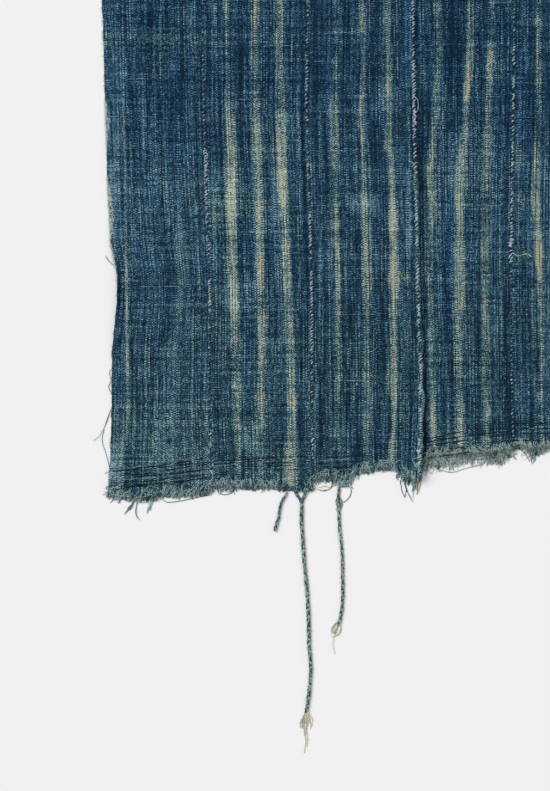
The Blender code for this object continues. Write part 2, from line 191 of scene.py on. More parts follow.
# The pale warp streaks of each strip, named by strip and letter from the left. Each row is a place
# down the picture: its middle and its width in the picture, how pale it is and how warm, 0 to 1.
STREAK_COLUMNS = ("v", "u", "width", "pale", "warm")
STREAKS = {
    "1A": (
        (-40, 124, 1, 0, 0), (60, 124, 1.5, 0.1, 0), (95, 124, 1.5, 0.15, 0),
        (240, 125.5, 1.5, 0.25, 0.1), (262, 126.3, 1.4, 0.75, 0.4), (330, 127.2, 1.4, 0.8, 0.5),
        (400, 127.6, 1.6, 0.5, 0.3), (440, 127, 1.5, 0.2, 0), (460, 127, 1.5, 0, 0),
    ),
    "2A": (
        (0, 226, 5, 0.92, 0.7), (20, 226.5, 3, 0.57, 0.3), (50, 227.2, 3, 0.4, 0),
        (95, 228, 3.5, 0.3, 0), (107, 228.7, 6, 0.45, 0.2), (120, 230, 8, 0.7, 0.4),
        (150, 231.5, 8, 0.97, 0.5), (195, 231.6, 8, 1.05, 0.8), (230, 231.6, 8, 0.97, 0.3),
        (240, 232, 8, 0.65, 0.6), (262, 232.4, 9, 0.97, 0.9), (280, 233.5, 8, 0.8, 0.3),
        (315, 235.3, 8.6, 0.85, 0.4), (350, 236.3, 8.5, 0.7, 0.2), (368, 236.3, 8, 0.2, 0),
        (380, 236.3, 7.5, 0.65, 0.2), (430, 236.5, 7, 0.55, 0.3), (450, 238, 4, 0.4, 0.5),
        (470, 238, 5, 0.4, 0.1), (478, 238, 4, 0, 0),
    ),
    "2B": (
        (0, 255.5, 7.2, 0.62, 0.3), (10, 255.5, 7.2, 0.62, 0.9), (18, 255.5, 7.2, 0.62, 0.3),
        (26, 255.5, 7.2, 0.62, 0.8), (40, 255, 7.2, 0.47, 0), (51, 254, 7, 0.28, 0),
        (60, 254, 7, 0.6, 0.2), (80, 255.2, 6, 0.33, 0), (112, 256.5, 7, 0.56, 0.2),
        (140, 256.9, 8, 0.74, 0.3), (165, 258, 7, 0.6, 0.2), (186, 259, 7, 0.5, 0),
        (202, 259, 8, 0.9, 0.4), (228, 259.7, 7, 0.65, 0.2), (248, 260, 7, 0.45, 0),
        (264, 260.5, 7, 0.9, 0.8), (285, 260.6, 6, 0.65, 0.6), (304, 261, 6, 0.2, 0),
        (320, 261.7, 7.5, 0.85, 0.4), (360, 262, 7, 0.75, 0.3), (384, 261.5, 7, 0.4, 0.1),
        (397, 261.2, 8, 0.8, 0.8), (415, 261.2, 8, 0.75, 0.3), (429, 261.2, 8, 0.8, 0.8),
        (436, 261.2, 7, 0.25, 0), (446, 261, 7, 0.6, 0), (454, 261, 6, 0.3, 0), (465, 261, 6, 0.7, 0.2),
        (484, 261, 5, 0.1, 0),
    ),
    "2C": (
        (0, 279, 8.2, 0.77, 0.5), (25, 279, 8.2, 0.77, 0.4), (40, 278.6, 9.5, 0.72, 0),
        (60, 279.5, 6.6, 0.41, 0), (100, 281.5, 6.6, 0.59, 0.2), (125, 281.5, 9, 0.9, 0.6),
        (185, 281.8, 9.5, 0.85, 0.5), (200, 283.8, 9, 1, 0.6), (220, 285.5, 8, 0.35, 0),
        (240, 285.8, 8, 0.4, 0), (252, 285.5, 8, 0.85, 0.4), (280, 287, 7, 0.65, 0.2),
        (308, 289, 6, 0.6, 0.2), (330, 289.6, 6.5, 0.9, 0.8), (360, 290.5, 7, 0.75, 0.2),
        (388, 291.6, 4, 0.85, 0.4), (400, 291.6, 9, 0.75, 1), (416, 292, 6, 0.7, 0.3),
        (442, 291.5, 8, 0.65, 0.2), (462, 290, 11, 0.75, 0.4), (492, 290, 11, 0.75, 0.4),
    ),
    "3A": (
        (3, 336.2, 6.3, 0.33, 0), (40, 336.2, 6.3, 0.3, 0), (45, 336, 5.4, 0.09, 0),
        (54, 335.9, 4.5, 0.33, 0), (74, 335.9, 5.9, 0.39, 0.1), (93, 335, 6, 0.3, 0),
        (107, 333.9, 8, 0.65, 0.4), (116, 334.7, 7, 0.65, 0.7), (145, 335, 8, 0.42, 0),
        (183, 336.7, 7, 0.3, 0), (205, 336.4, 8, 0.5, 0.1), (214, 336.2, 8, 0.3, 0.3),
        (225, 336, 8, 0.7, 0.9), (235, 336.5, 6, 0.25, 0), (240, 337, 12, 0.45, 0.2),
        (250, 337.9, 5, 0.5, 0.2), (270, 338, 6, 0.35, 0), (282, 338.5, 5.4, 0.49, 0.7),
        (310, 339, 7.2, 0.33, 0), (335, 339, 6.3, 0.39, 0.2), (352, 339, 6.3, 0.29, 0),
        (363, 339, 6.3, 0.42, 0.2), (369, 339, 6, 0.2, 0), (378, 338.3, 6, 0.65, 0.2),
        (393, 337, 4, 0.6, 0.2), (406, 336.8, 4, 0.25, 0), (428, 336.5, 4.5, 0.6, 0.5),
        (450, 338, 6, 0.35, 0), (462, 338, 5, 0.1, 0),
    ),
    "3B": (
        (0, 362.6, 5.1, 0.24, 0.5), (14, 362.6, 6.8, 0.45, 0.1), (36, 362.6, 6.8, 0.45, 0.1),
        (42, 363, 5.1, 0.21, 0), (55, 363.7, 3, 0.42, 0.6), (90, 362.6, 4, 0.5, 0.1),
        (120, 360.8, 8, 0.65, 0.2), (145, 362.6, 3, 0.75, 0.4), (180, 364, 5, 0.35, 0),
        (200, 363.4, 6, 0.65, 0.2), (210, 365, 6, 0.35, 0), (235, 366.6, 8.1, 0.58, 0.4),
        (263, 366.6, 8.1, 0.51, 0.2), (284, 366.9, 9.9, 0.66, 0.4), (300, 366, 7.2, 0.47, 0.2),
        (316, 366, 4, 0.4, 0), (336, 366.6, 4, 0.75, 0.4), (370, 366.6, 5, 0.7, 0.4),
        (386, 366.6, 5, 0.75, 0.9), (406, 366.4, 5, 0.25, 0), (422, 366.3, 5, 0.6, 0.2),
        (445, 366.3, 6, 0.45, 0), (462, 366.3, 5, 0.1, 0),
    ),
    "3C": (
        (0, 387.2, 5.4, 0.24, 0), (12, 387.2, 6.3, 0.52, 0.2), (48, 387.4, 6.3, 0.52, 0.2),
        (70, 388, 7.5, 0.55, 0), (92, 388, 6, 0.7, 0.9), (101, 388, 5, 0.25, 0),
        (125, 388.4, 5, 0.6, 0.5), (148, 388, 7, 0.8, 0.9), (158, 391, 4, 0.7, 0.6),
        (200, 392, 3.8, 0.9, 0.6), (222, 392.5, 7.5, 1, 0.5), (250, 394.3, 5, 0.9, 0.4),
        (281, 393.5, 10, 1, 0.9), (297, 394.4, 6.2, 0.78, 0.3), (314, 392.4, 8, 0.65, 0.2),
        (332, 393.5, 6, 0.8, 0.5), (355, 393.6, 6, 0.75, 0.7), (381, 392.9, 11, 0.75, 0.3),
        (410, 394.6, 3, 0.75, 0.4), (430, 394.2, 4, 0.7, 0.4), (447, 392.3, 8, 0.6, 0.2),
        (464, 392.3, 8, 0.5, 0.2),
    ),
    "4A": (
        (0, 436, 5.4, 0.45, 0), (30, 438, 6.3, 0.38, 0.1), (75, 438.5, 6.3, 0.3, 0.1),
        (81, 436.6, 5.4, 0.38, 0.2), (96, 436, 6.3, 0.39, 0.5), (108, 435.4, 6.3, 0.2, 0),
        (119, 434.8, 6.3, 0.55, 0.4), (135, 432.6, 4.5, 0.45, 0.3), (154, 431, 5.5, 0.75, 0.3),
        (175, 429.3, 7, 0.65, 0.2), (197, 431.4, 7, 0.6, 0.2), (235, 429, 7, 0.45, 0),
        (262, 429, 7, 0.4, 0), (279, 428.8, 5, 0.8, 0.8), (291, 429.5, 5, 0.3, 0.2),
        (301, 430, 5, 0.7, 1), (312, 430.3, 4, 0.75, 0.4), (332, 430.8, 6, 0.65, 0.2),
        (370, 430.8, 2.7, 0.52, 0.3), (398, 431.3, 5.4, 0.56, 0.8), (420, 431.5, 6, 0.7, 0.6),
        (437, 433.5, 6, 0.6, 0.3), (452, 433.5, 6, 0.4, 0),
    ),
    "4B": (
        (0, 469.3, 5.4, 0.65, 0.2), (14, 469.7, 6.5, 0.85, 0.4), (60, 469.7, 6.5, 0.9, 0.4),
        (80, 467.8, 6.0, 0.85, 0.7), (100, 466, 5.4, 0.75, 1), (108, 465, 5.4, 0.4, 0.1),
        (128, 464.7, 6.3, 0.6, 0.2), (153, 462, 6.3, 0.77, 0.7), (170, 461.3, 8.1, 0.73, 0.3),
        (198, 459.8, 9.9, 0.69, 0.5), (225, 459.6, 6.3, 0.6, 0.3), (248, 459.5, 9, 0.77, 0.4),
        (278, 459.5, 9.9, 0.6, 0.2), (306, 459.5, 9, 0.82, 0.7), (328, 458.6, 7.7, 0.56, 0.2),
        (360, 459, 6.3, 0.6, 0.2), (385, 459.2, 5.4, 0.26, 0), (407, 459.5, 7.2, 0.56, 0.2),
        (434, 459.8, 7.2, 0.56, 0.2), (443, 459.8, 7.2, 0.6, 0.9), (450, 459.8, 6.3, 0.26, 0),
    ),
    "4C": (
        (0, 492, 7, 0.42, 0), (15, 492, 6, 0.26, 0), (42, 490.6, 6, 0.26, 0),
        (54, 490.2, 7.5, 0.72, 0.3), (75, 489.4, 7, 0.75, 0.2), (100, 488.3, 6, 0.55, 0),
        (122, 487.7, 6, 0.6, 0), (140, 487, 8.8, 0.77, 0.2), (175, 485.7, 7.7, 0.72, 0.2),
        (206, 485, 6.6, 0.39, 0), (228, 484.8, 5, 0.66, 0.2), (249, 484.2, 6.6, 0.94, 0.9),
        (266, 484.8, 6, 0.4, 0.5), (283, 485.4, 7, 0.7, 0.2), (291, 485.2, 6, 0.4, 0),
        (300, 484.8, 7, 0.9, 0.7), (320, 485.6, 6, 0.8, 0.4), (345, 485.8, 8, 0.5, 0.1),
        (394, 486, 7, 0.45, 0.1), (410, 486.3, 6, 0.65, 0.2), (440, 486.3, 6, 0.6, 0.2),
        (450, 486.3, 5, 0.2, 0),
    ),
    "5A": (
        (0, 538, 4.8, 0.3, 0), (10, 537.9, 5.6, 0.22, 0), (18, 537.9, 6.8, 0.64, 0.3),
        (33, 538, 4.8, 0.3, 0.5), (60, 538.2, 4.8, 0.45, 0.5), (82, 538.2, 5.6, 0.64, 0.6),
        (93, 538.2, 4, 0.22, 0.1), (104, 538.2, 4.4, 0.56, 0.7), (128, 537, 4, 0.3, 0.5),
        (150, 535.9, 5.6, 0.68, 0.9), (163, 535.9, 5.6, 0.68, 0.9), (180, 535.3, 7, 0.45, 0.5),
        (200, 535.3, 8, 0.85, 0.8), (225, 536.5, 6, 0.6, 0.3), (247, 538.5, 8.5, 0.9, 0.8),
        (275, 539.6, 6, 0.7, 0.9), (320, 541, 5.4, 0.41, 0.1), (350, 541.8, 4.5, 0.3, 0),
        (365, 542, 4.5, 0.6, 0.4), (385, 540.5, 5.4, 0.26, 0), (396, 539.4, 6.3, 0.64, 0.3),
        (408, 540.5, 4.5, 0.22, 0), (430, 541.3, 4.5, 0.38, 0), (448, 541.3, 4.5, 0.3, 0),
    ),
}
# Where the three streaks of a strip lie that the picture doesn't show, as shares of its width.
PLAIN_STREAKS = {"A": 0.215, "B": 0.455, "C": 0.7}
PLAIN_STREAK_WIDTH = 7.5
STREAK_FADE = 40.0
FAR_FROM_STREAK = 50.0

# Soft patches of other dye, with their left, right, top and bottom in the picture and a strength. Some dark
# ones are painted shade instead: along the right of the third seam's rib, in the groove inside the curled
# left edge and in the thin shadow line near u 131.
PATCH_COLUMNS = ("left", "right", "top", "bottom", "strength")
PATCHES = {
    "dark": (
        (446, 462, 0, 140, 0.5), (474, 484, 0, 150, 0.4), (146, 168, 55, 140, 0.3),
        (166, 196, 75, 145, 0.45), (162, 174, 225, 335, 0.55), (344, 358, 395, 425, 1.0),
        (375, 388, 448, 462, 1.0), (472, 500, 422, 445, 0.9), (182, 196, 0, 8, 0.7),
        (312, 345, 0, 25, 0.6), (198, 208, 125, 300, 0.6), (290, 300, 50, 90, 0.8),
        (264, 274, 235, 290, 0.8), (420, 430, 90, 165, 1.0), (340, 355, 295, 345, 0.7),
        (132, 146, 150, 190, 1.0), (312, 328, 0, 250, 0.5), (456, 488, 0, 50, 0.6),
        (520, 548, 75, 150, 0.5), (136, 150, 125, 175, 0.5), (139, 150, 10, 75, 0.6),
        (232, 248, 45, 90, 0.6), (263, 272, 45, 95, 0.7), (238, 246, 45, 330, 0.8),
        (300, 306, 0, 440, 0.7), (197, 202, 0, 470, 0.5), (196, 202, 0, 140, 0.6),
        (304, 308, 0, 160, 0.6), (371, 381, 0, 160, 0.7), (355, 361, 230, 300, 0.8),
        (377, 385, 180, 420, 0.5), (411, 416, 0, 335, 0.6), (449, 457, 0, 60, 1.0),
        (475, 486, 0, 440, 0.5), (504, 511, 240, 450, 1.0), (504, 510, 0, 240, 0.6),
        # Painted shade, in most rows of these three lines: the shadow right of the third seam's rib, the
        # groove inside the curled left edge and the thin shadow line near u 131.
        (420, 426, 335, 480, 1.5), (419, 424, 165, 335, 0.6), (414, 418, 95, 165, 1.0),
        (117, 120, 262, 345, 1.4), (116, 118, 345, 400, 0.9), (130.5, 132.5, 290, 370, 1.3),
        (127.5, 129, 60, 240, 1.2), (423, 428, 180, 420, 0.6), (268, 276, 100, 260, 0.4),
        (344, 352, 0, 130, 0.4), (105, 110, 20, 110, 0.4),
    ),
    "pale": (
        (104, 114, 150, 260, 1.0), (110, 118, 262, 340, 1.3), (104, 124, 445, 492, 1.4),
        (212, 226, 165, 215, 0.6), (105, 114, 75, 125, 1.2), (228, 244, 165, 215, 0.9),
        (344, 380, 195, 215, 1.1), (372, 400, 90, 115, 1.0), (270, 286, 170, 215, 0.9),
        (228, 256, 275, 315, 0.8), (448, 480, 130, 185, 0.6), (240, 256, 425, 450, 1.2),
        (376, 392, 0, 50, 0.3), (404, 412, 170, 260, 0.8), (104, 118, 0, 100, 0.5),
        (105, 119, 100, 200, 0.8), (104, 120, 275, 325, 0.4), (104, 118, 400, 480, 0.2),
        (392, 424, 195, 225, 0.6), (102, 106.5, 108, 147, 1.2), (102, 108, 192, 240, 1.5),
    ),
    "blue": (
        (132, 140, 110, 135, 0.9), (132, 140, 225, 260, 0.9), (120, 125, 300, 400, 1.0),
        (400, 412, 0, 60, 0.9), (414, 423, 0, 45, 0.9), (447, 455, 200, 330, 0.8),
        (165, 180, 60, 200, 0.35), (150, 165, 250, 380, 0.35), (240, 250, 260, 420, 0.3),
        (436, 446, 250, 430, 0.3), (515, 530, 20, 180, 0.5), (320, 332, 30, 150, 0.4),
    ),
    "grey": (
        (182, 195, 0, 40, 0.4), (103, 155, 35, 46, 1.0), (155, 205, 35, 46, 0.6),
        (212, 225, 195, 232, 0.6), (240, 250, 190, 215, 0.5), (212, 222, 290, 305, 0.9),
        (212, 222, 315, 345, 0.7), (396, 412, 274, 282, 1.0), (514, 526, 148, 165, 1.0),
        (515, 525, 196, 205, 1.0), (103, 208, 405, 500, 0.3), (210, 310, 440, 492, 0.2),
        (313, 350, 420, 480, 0.1), (100, 107, 105, 147, 1.2), (103, 108, 188, 240, 1.0),
        (515, 548, 254, 258, 0.9), (125, 131, 345, 385, 0.6), (194, 198, 175, 215, 0.7),
        (420, 510, 430, 452, 0.4),
    ),
}
PATCH_FADE = 5.0

# Single pale warp ends that show as dotted lines, with their place, top, bottom and strength.
DOTTED_COLUMNS = ("u", "top", "bottom", "strength")
DOTTED = (
    (123, 0, 150, 0.6), (126.5, 220, 360, 0.9), (129.5, 240, 305, 0.5), (133, 250, 300, 0.4),
    (135.4, 180, 300, 0.4), (152.5, 60, 130, 0.4), (160.3, 15, 75, 0.7), (193, 40, 75, 0.6),
    (160.5, 120, 200, 0.6), (176, 175, 190, 0.6), (198.5, 235, 330, 0.5), (152, 305, 325, 0.6),
    (193, 285, 420, 0.5), (158, 375, 435, 0.6), (179, 365, 435, 0.9), (168, 395, 435, 0.6),
    (150, 230, 255, 0.5), (214.4, 0, 25, 0.7), (212, 30, 45, 0.6), (212, 75, 110, 0.6),
    (288.4, 10, 30, 0.6), (275.4, 50, 95, 0.6), (261.4, 60, 72, 0.6), (264.3, 95, 112, 0.6),
    (294.6, 98, 140, 0.6), (301, 125, 150, 0.6), (278, 190, 225, 0.6), (267.6, 262, 300, 0.6),
    (300.5, 260, 312, 0.9), (282.8, 305, 345, 0.6), (282.8, 385, 410, 0.6), (274.8, 345, 400, 0.6),
    (250.4, 410, 460, 0.6), (226.6, 390, 420, 0.6), (305.7, 400, 430, 0.5), (370, 0, 30, 1.0),
    (369, 45, 95, 0.6), (369, 140, 180, 0.6), (397, 0, 32, 0.7), (397, 55, 75, 0.6),
    (397, 88, 100, 0.6), (394.5, 20, 45, 0.5), (344.8, 120, 175, 0.6), (324.7, 95, 112, 0.6),
    (319.5, 130, 180, 0.6), (369.7, 170, 240, 1.0), (371.7, 240, 300, 0.6), (373, 320, 465, 0.8),
    (376, 330, 400, 0.5), (382, 220, 290, 0.5), (346.5, 170, 290, 0.6), (321.2, 170, 270, 0.5),
    (323.5, 297, 312, 0.6), (398.7, 240, 320, 0.6), (400.5, 240, 320, 0.5), (402, 235, 255, 0.5),
    (407.9, 275, 295, 0.6), (348.5, 348, 368, 1.0), (401, 345, 465, 0.6), (407, 330, 345, 0.6),
    (407, 380, 410, 0.6), (407, 420, 445, 0.6), (351.5, 395, 415, 0.6), (324, 425, 450, 0.6),
    (447.5, 0, 22, 0.7), (431.4, 45, 60, 0.6), (445.2, 85, 110, 0.6), (443, 110, 122, 0.6),
    (441.5, 120, 165, 0.6), (438.3, 165, 260, 0.6), (445.2, 178, 200, 1.0), (477.3, 0, 110, 0.5),
    (471.3, 120, 250, 0.9), (476.5, 120, 150, 0.6), (476.5, 240, 262, 0.6), (498, 40, 80, 0.6),
    (505, 130, 165, 0.5), (501.2, 145, 350, 0.35), (494, 190, 200, 0.6), (494, 297, 315, 0.6),
    (439.3, 333, 390, 0.6), (465, 320, 345, 0.6), (465, 400, 430, 0.6), (505, 350, 395, 0.5),
    (518.2, 190, 235, 0.7), (518.2, 255, 300, 0.7), (546.5, 170, 200, 0.6),
)
# Half the length and the radius of each place where such an end shows.
DOT_HALF, DOT_RADIUS = (0.34, 0.5), (0.4, 0.58)

# Thick pale weft places, each with its place down the picture, its left and its right end.
SLUBS = (
    (28.5, 166, 177), (79, 129, 145), (82, 130, 144), (116.5, 110, 150), (122.5, 157, 200),
    (176.5, 143, 183), (232.5, 131, 140), (247, 143, 200), (286.5, 140, 190), (297, 172, 184),
    (378, 132, 141), (372, 137, 160), (366, 168, 182), (390, 166, 177), (420.5, 167, 203),
    (46.5, 206, 229), (46, 264, 300), (89.6, 283, 299), (99.3, 239, 264), (130, 242.5, 255),
    (177.5, 209, 238), (185.5, 273, 305), (188, 274, 304), (206.7, 264, 303), (210, 266, 302),
    (236, 294, 303), (247.5, 214, 227), (253, 292, 302), (61.4, 313, 326), (61.4, 332, 339),
    (63.3, 358.5, 368), (63.3, 371, 380), (82.6, 366, 370), (108.5, 371, 392), (196, 318, 373),
    (239.4, 324, 342), (278.5, 336, 412), (314.6, 348, 358), (380.5, 331, 365), (383, 384, 392),
    (389, 320, 331), (389, 343, 353), (151, 475, 490), (252, 467, 504), (315, 448, 465), (78, 516, 527),
    (117.7, 516, 548), (137, 515, 524), (149, 515, 524), (220, 540, 550),
)
# Half of how far each rises to its right end.
SLUB_RISE = 0.25

# The torn hem: where its loose yarns end, as places in the picture with how pale the yarns are.
FRAY_COLUMNS = ("u", "v", "pale")
FRAY_EDGE = {
    1: (
        (104, 496, 0.6), (110, 502.5, 0.7), (121, 501, 0.65), (139, 504.5, 0.65), (149, 504.5, 0.6),
        (158, 502, 0.5), (161, 497, 0.5), (167, 501.5, 0.7), (177, 501.5, 0.7), (191, 498.5, 0.6),
        (209, 495, 0.5),
    ),
    2: (
        (212, 493, 0.6), (232, 493.5, 0.6), (238, 489, 0.4), (250, 491.5, 0.5), (283, 491.5, 0.5),
        (290, 492, 0.2), (312, 491, 0.1),
    ),
    3: (
        (313, 487, 0.2), (318, 485, 0.3), (324, 485.5, 0.3), (334, 482, 0.3), (340, 491, 0.4),
        (347, 491, 0.4), (352, 484, 0.3), (357, 476, 0.6), (366, 475.5, 0.7), (374, 473, 0.5),
        (392, 471, 0.7), (398, 474, 0.6), (403, 482, 0.3), (413, 485.5, 0.4), (422, 480, 0.6),
        (427, 473, 0.6),
    ),
    4: (
        (420, 475, 0.7), (440, 471, 0.9), (452, 470, 0.9), (470, 468, 0.9), (490, 466, 0.9),
        (508, 462, 0.7),
    ),
    5: (
        (510, 452, 0.9), (526, 451.5, 0.9), (529, 457, 0.8), (534, 462.5, 0.8), (539, 458, 0.8),
        (542, 452, 0.9), (552, 451, 0.9),
    ),
}
FRAY_PLAIN_DROP, FRAY_PLAIN_PALE = 8.0, 0.5
# How many loose yarns a strip has, how far above the hem they start, how they curl as they fall,
# and their radius and tone. The darker ones still hold their dye, and lying lower they also paint the shade
# under the fringe.
FRAY_YARNS, FRAY_PLAIN_YARNS = 540, 110
FRAY_SPARSE = {4: 0.75}
FRAY_SHARES, FRAY_ROOT = (0.004, 0.996), 9.0
# The chance that a yarn is pale: the least, and what the edge's paleness adds. Then what its place
# adds to its tone, and the noise value where that changes sign.
FRAY_PALE_LEAST, FRAY_PALE_MORE = 0.05, 0.8
FRAY_TONE_GAIN, FRAY_TONE_MIDDLE = 0.8, 0.45
FRAY_STEP, FRAY_CURL, FRAY_HOMING = 0.8, 0.7, 0.16
FRAY_RADIUS, FRAY_DARK_TONE, FRAY_PALE_TONE = (0.14, 0.3), (-0.6, 0.4), (0.2, 1.2)
DARK_TORN_STRIPS = (1, 2, 3)
# How the loose yarns of a strip lean to the left, as a share of their drop, and up to where in the picture.
FRAY_LEAN = {1: 0.55}
FRAY_LEAN_TO = 158
# How far loose yarns lie above the floor and the cloth, and the slope between the two at the hem.
FLOOR_CLEAR, CLOTH_CLEAR = 0.35, 0.1
SLOPE_BELOW_HEM, SLOPE_LENGTH = 5.0, 6.0
# The two legs of the long plait: a middle, how far each leg is from it, and a height, in mm.
LEGS = ((215.6, 6.4, 18.5), (215.8, 4.6, 11.5), (216.3, 1.4, 6.0), (216.6, 0, 1.5))
LEG_YARNS, LEG_SPREAD, LEG_RADIUS = 12, 2.0, 0.58
# Thin locks and single threads at the hem and the left edge. Each has a number of yarns, how far
# they spread and their radius in mm, and a route in the picture.
LOOSE_COLUMNS = ("yarns", "spread", "radius", "route")
LOOSE = (
    (9, 1.5, 0.26, ((134, 500), (131, 506), (127, 511), (124, 515))),
    (2, 0.3, 0.22, ((137, 501), (136, 512), (137, 517), (139.5, 520))),
    (10, 1.7, 0.26, ((153, 499), (151, 505), (149, 510), (147.5, 513.5))),
    (1, 0, 0.28, ((161, 497), (166, 502), (173, 502), (184, 500), (199.5, 497), (212, 494.5))),
    (5, 0.9, 0.24, ((114, 497), (112, 500), (109.5, 503))),
    (5, 0.9, 0.24, ((121, 498), (119, 502), (116, 504))),
    (1, 0, 0.3, ((114.5, 486), (106.5, 487), (108.4, 490.6), (108.4, 497))),
    (1, 0, 0.26, ((217, 489), (219, 493), (224, 494.5), (231, 493), (235, 489))),
    (6, 1.1, 0.24, ((223, 488), (221, 492), (218, 494))),
    (4, 0.8, 0.24, ((262, 486), (263, 490), (261, 493))),
    (20, 3.0, 0.26, ((339, 478), (341, 483), (340, 488))),
    (10, 2.0, 0.25, ((347, 477), (347, 483), (345, 487))),
    (30, 5.0, 0.28, ((345, 476), (345, 483), (345, 489))),
    (9, 1.5, 0.22, ((338.5, 496), (337, 501), (338, 506), (337.5, 513))),
    (9, 1.5, 0.22, ((339.5, 497), (341, 503), (340, 508), (338.5, 513))),
    (1, 0, 0.28, ((348, 485), (351, 490), (350, 496), (347, 500), (343, 502.5))),
    (2, 0.4, 0.24, ((352, 480), (351, 486), (354, 489))),
    (14, 2.6, 0.27, ((408, 470), (408, 480), (407, 487))),
    (4, 0.6, 0.24, ((405, 478), (406, 490), (405, 500))),
    (9, 1.3, 0.26, ((411, 470), (414, 485), (413, 495), (412, 503))),
    (3, 0.5, 0.24, ((418, 480), (417.5, 488), (416.5, 496))),
    (10, 2.2, 0.26, ((417, 462), (420, 474), (419, 484))),
    (2, 0.3, 0.24, ((400, 480), (402, 490), (405, 498))),
    (2, 0.3, 0.24, ((404, 482), (408, 493), (413, 502))),
    (4, 0.7, 0.24, ((491, 457), (492, 462), (492.5, 466))),
    (3, 0.6, 0.24, ((504, 453), (505, 457), (505, 461))),
    (12, 2.0, 0.26, ((531, 446), (533, 455), (532, 464))),
    (1, 0, 0.26, ((513, 451), (518, 448), (524, 453), (530, 462))),
    (2, 0.3, 0.2, ((113.5, 404), (111.8, 408), (107, 420), (104.1, 428))),
    (1, 0, 0.2, ((104.1, 428), (99, 436), (93, 441))),
    (1, 0, 0.2, ((104.1, 428), (102, 440), (106, 453), (109, 466), (111, 470))),
    (1, 0, 0.3, ((114, 266), (109, 261), (105.2, 255.8))),
    (1, 0, 0.25, ((107.5, 139), (111, 138), (114, 136))),
    (1, 0, 0.22, ((109, 472), (105, 473), (104, 474))),
    (1, 0, 0.22, ((114, 366), (109.5, 372), (111, 380), (109, 388), (114, 398))),
)
# Pale loops and strands at the hem.
PALE_LOOSE = (
    (2, 0.4, 0.36, ((313.5, 485), (317, 489), (323, 490.5), (329, 489), (334, 484))),
    (1, 0, 0.32, ((315, 483), (319, 487.5), (324, 486), (330, 487), (333.5, 482))),
    (2, 0.3, 0.38, ((431, 463), (434, 467), (441, 470), (452, 472), (465, 468.5), (480, 465), (484, 460))),
    (3, 0.6, 0.32, ((414, 475), (416, 486), (417, 494))),
    (3, 0.6, 0.32, ((422, 476), (419.5, 487), (417, 494))),
)
# The hairs all along the left edge: where they are, how far they reach, how they rise and their radius.
LEFT_HAIRS, LEFT_HAIRS_SPAN, LEFT_HAIR_REACH = 420, (20, 1640), (0.8, 2.4)
WORN_HAIR_REACH = (0.4, 1.6)
HAIR_RISE, HAIR_RADIUS = (-2.5, 2.5), (0.1, 0.22)
# Where the left edge is worn pale, as places down the picture, with the width of the worn band in
# mm and its number of hairs.
WORN_COLUMNS = ("top", "bottom", "width", "hairs")
WORN = (
    (30, 46, 2.2, 60), (100, 147, 3.6, 600), (176, 240, 4.8, 800), (240, 266, 2.4, 240),
    (266, 300, 1.2, 60), (330, 400, 1.2, 60),
)

# The cut ends below each plait, as routes in the picture. Each has a number of yarns.
TUFTS = {
    "plait_long": (
        (7, ((305.5, 711), (303, 717), (300.5, 723), (299.5, 728))),
        (8, ((305.8, 711), (304, 719), (302.5, 727), (302.5, 733))),
        (8, ((306.2, 711), (306.5, 720), (306, 728), (304.5, 735))),
        (7, ((306.5, 711), (309, 718), (310.5, 725), (309.5, 731))),
        (4, ((306.8, 711), (310.5, 716), (313, 721), (312, 727))),
        (2, ((306, 712), (305.5, 725), (307.5, 737), (306.5, 747))),
        (2, ((305.8, 712), (303.5, 728), (305.5, 741), (304, 753))),
    ),
    "plait_short": (
        (6, ((337.5, 621), (334, 625), (331.5, 630), (333, 634))),
        (7, ((338, 621), (337, 627), (335, 633), (337, 637))),
        (6, ((338.5, 621), (340.5, 627), (340, 633), (337.5, 636))),
        (1, ((338, 622), (334.5, 634), (332.5, 644.5), (335.4, 654.2))),
        (1, ((337, 622), (331, 628), (332, 637), (337, 634), (334, 629))),
    ),
}
# How far the yarns of a tuft spread, how much of their route they keep, and their radius.
TUFT_SPREAD, TUFT_KEPT, TUFT_RADIUS = (-1.3, 1.3), (0.55, 1.0), (0.2, 0.34)

# Painted shade: dark lines in the gaps between pulled weft yarns above the torn hem, as routes in the
# picture.
WEFT_GAP_SHADE = (
    ((110, 483), (130, 482), (153, 480.5), (172, 478), (207, 474)),
    ((139, 476), (170, 473.5), (207, 469.5)),
    ((112, 471.5), (161, 465), (207, 458)),
    ((114.5, 490), (136, 486), (160, 485), (190, 481)),
    ((112, 476.5), (150, 472.5), (207, 464)),
    ((118, 487), (150, 484), (207, 478)),
    ((150, 468.5), (207, 462)),
    ((212, 461), (236, 460), (270, 457.5), (308, 456.5)),
    ((262, 463), (308, 461.5)),
    ((268, 466), (308, 465)),
    ((274, 470), (308, 469)),
    ((313, 458), (357, 456)),
    ((313, 463.5), (357, 461.5)),
    ((316, 469), (350, 467)),
    ((432, 438), (449, 434), (466, 430.5)),
    ((424, 446), (466, 440), (508, 434)),
    ((428, 451.5), (470, 445.8), (509, 440.3)),
    ((424, 455.7), (447, 451.5), (470, 447.3)),
    ((428, 458), (459, 453.5), (490, 449)),
    ((489, 429.5), (508, 428.5)),
    ((511, 423.5), (550, 423)),
    ((511, 428.8), (550, 428.2)),
    ((511, 434), (550, 433)),
    ((425, 442), (470, 435.5), (508, 431)),
    ((212, 464.5), (262, 460.5)),
    ((320, 472.5), (345, 471)),
    ((511, 440.5), (550, 440)),
)
PALE_WEFTS = (
    ((112, 469), (124, 468.5), (138, 467.5)), ((112, 480), (140, 478.5), (158, 477.5)),
    ((155, 482), (172, 480.5), (190, 479)), ((140, 473), (165, 470.5), (196, 467)),
    ((118, 486.5), (134, 484.5)), ((128, 468), (150, 465.5)), ((165, 461.5), (203, 456.5)),
    ((170, 476), (203, 472)), ((215, 466), (240, 464)), ((280, 463.5), (303, 463)),
    ((320, 460.5), (350, 459)), ((318, 466), (345, 464.5)), ((455, 446), (490, 443.5)),
    ((428, 449), (444, 446)), ((515, 429), (545, 428)),
)
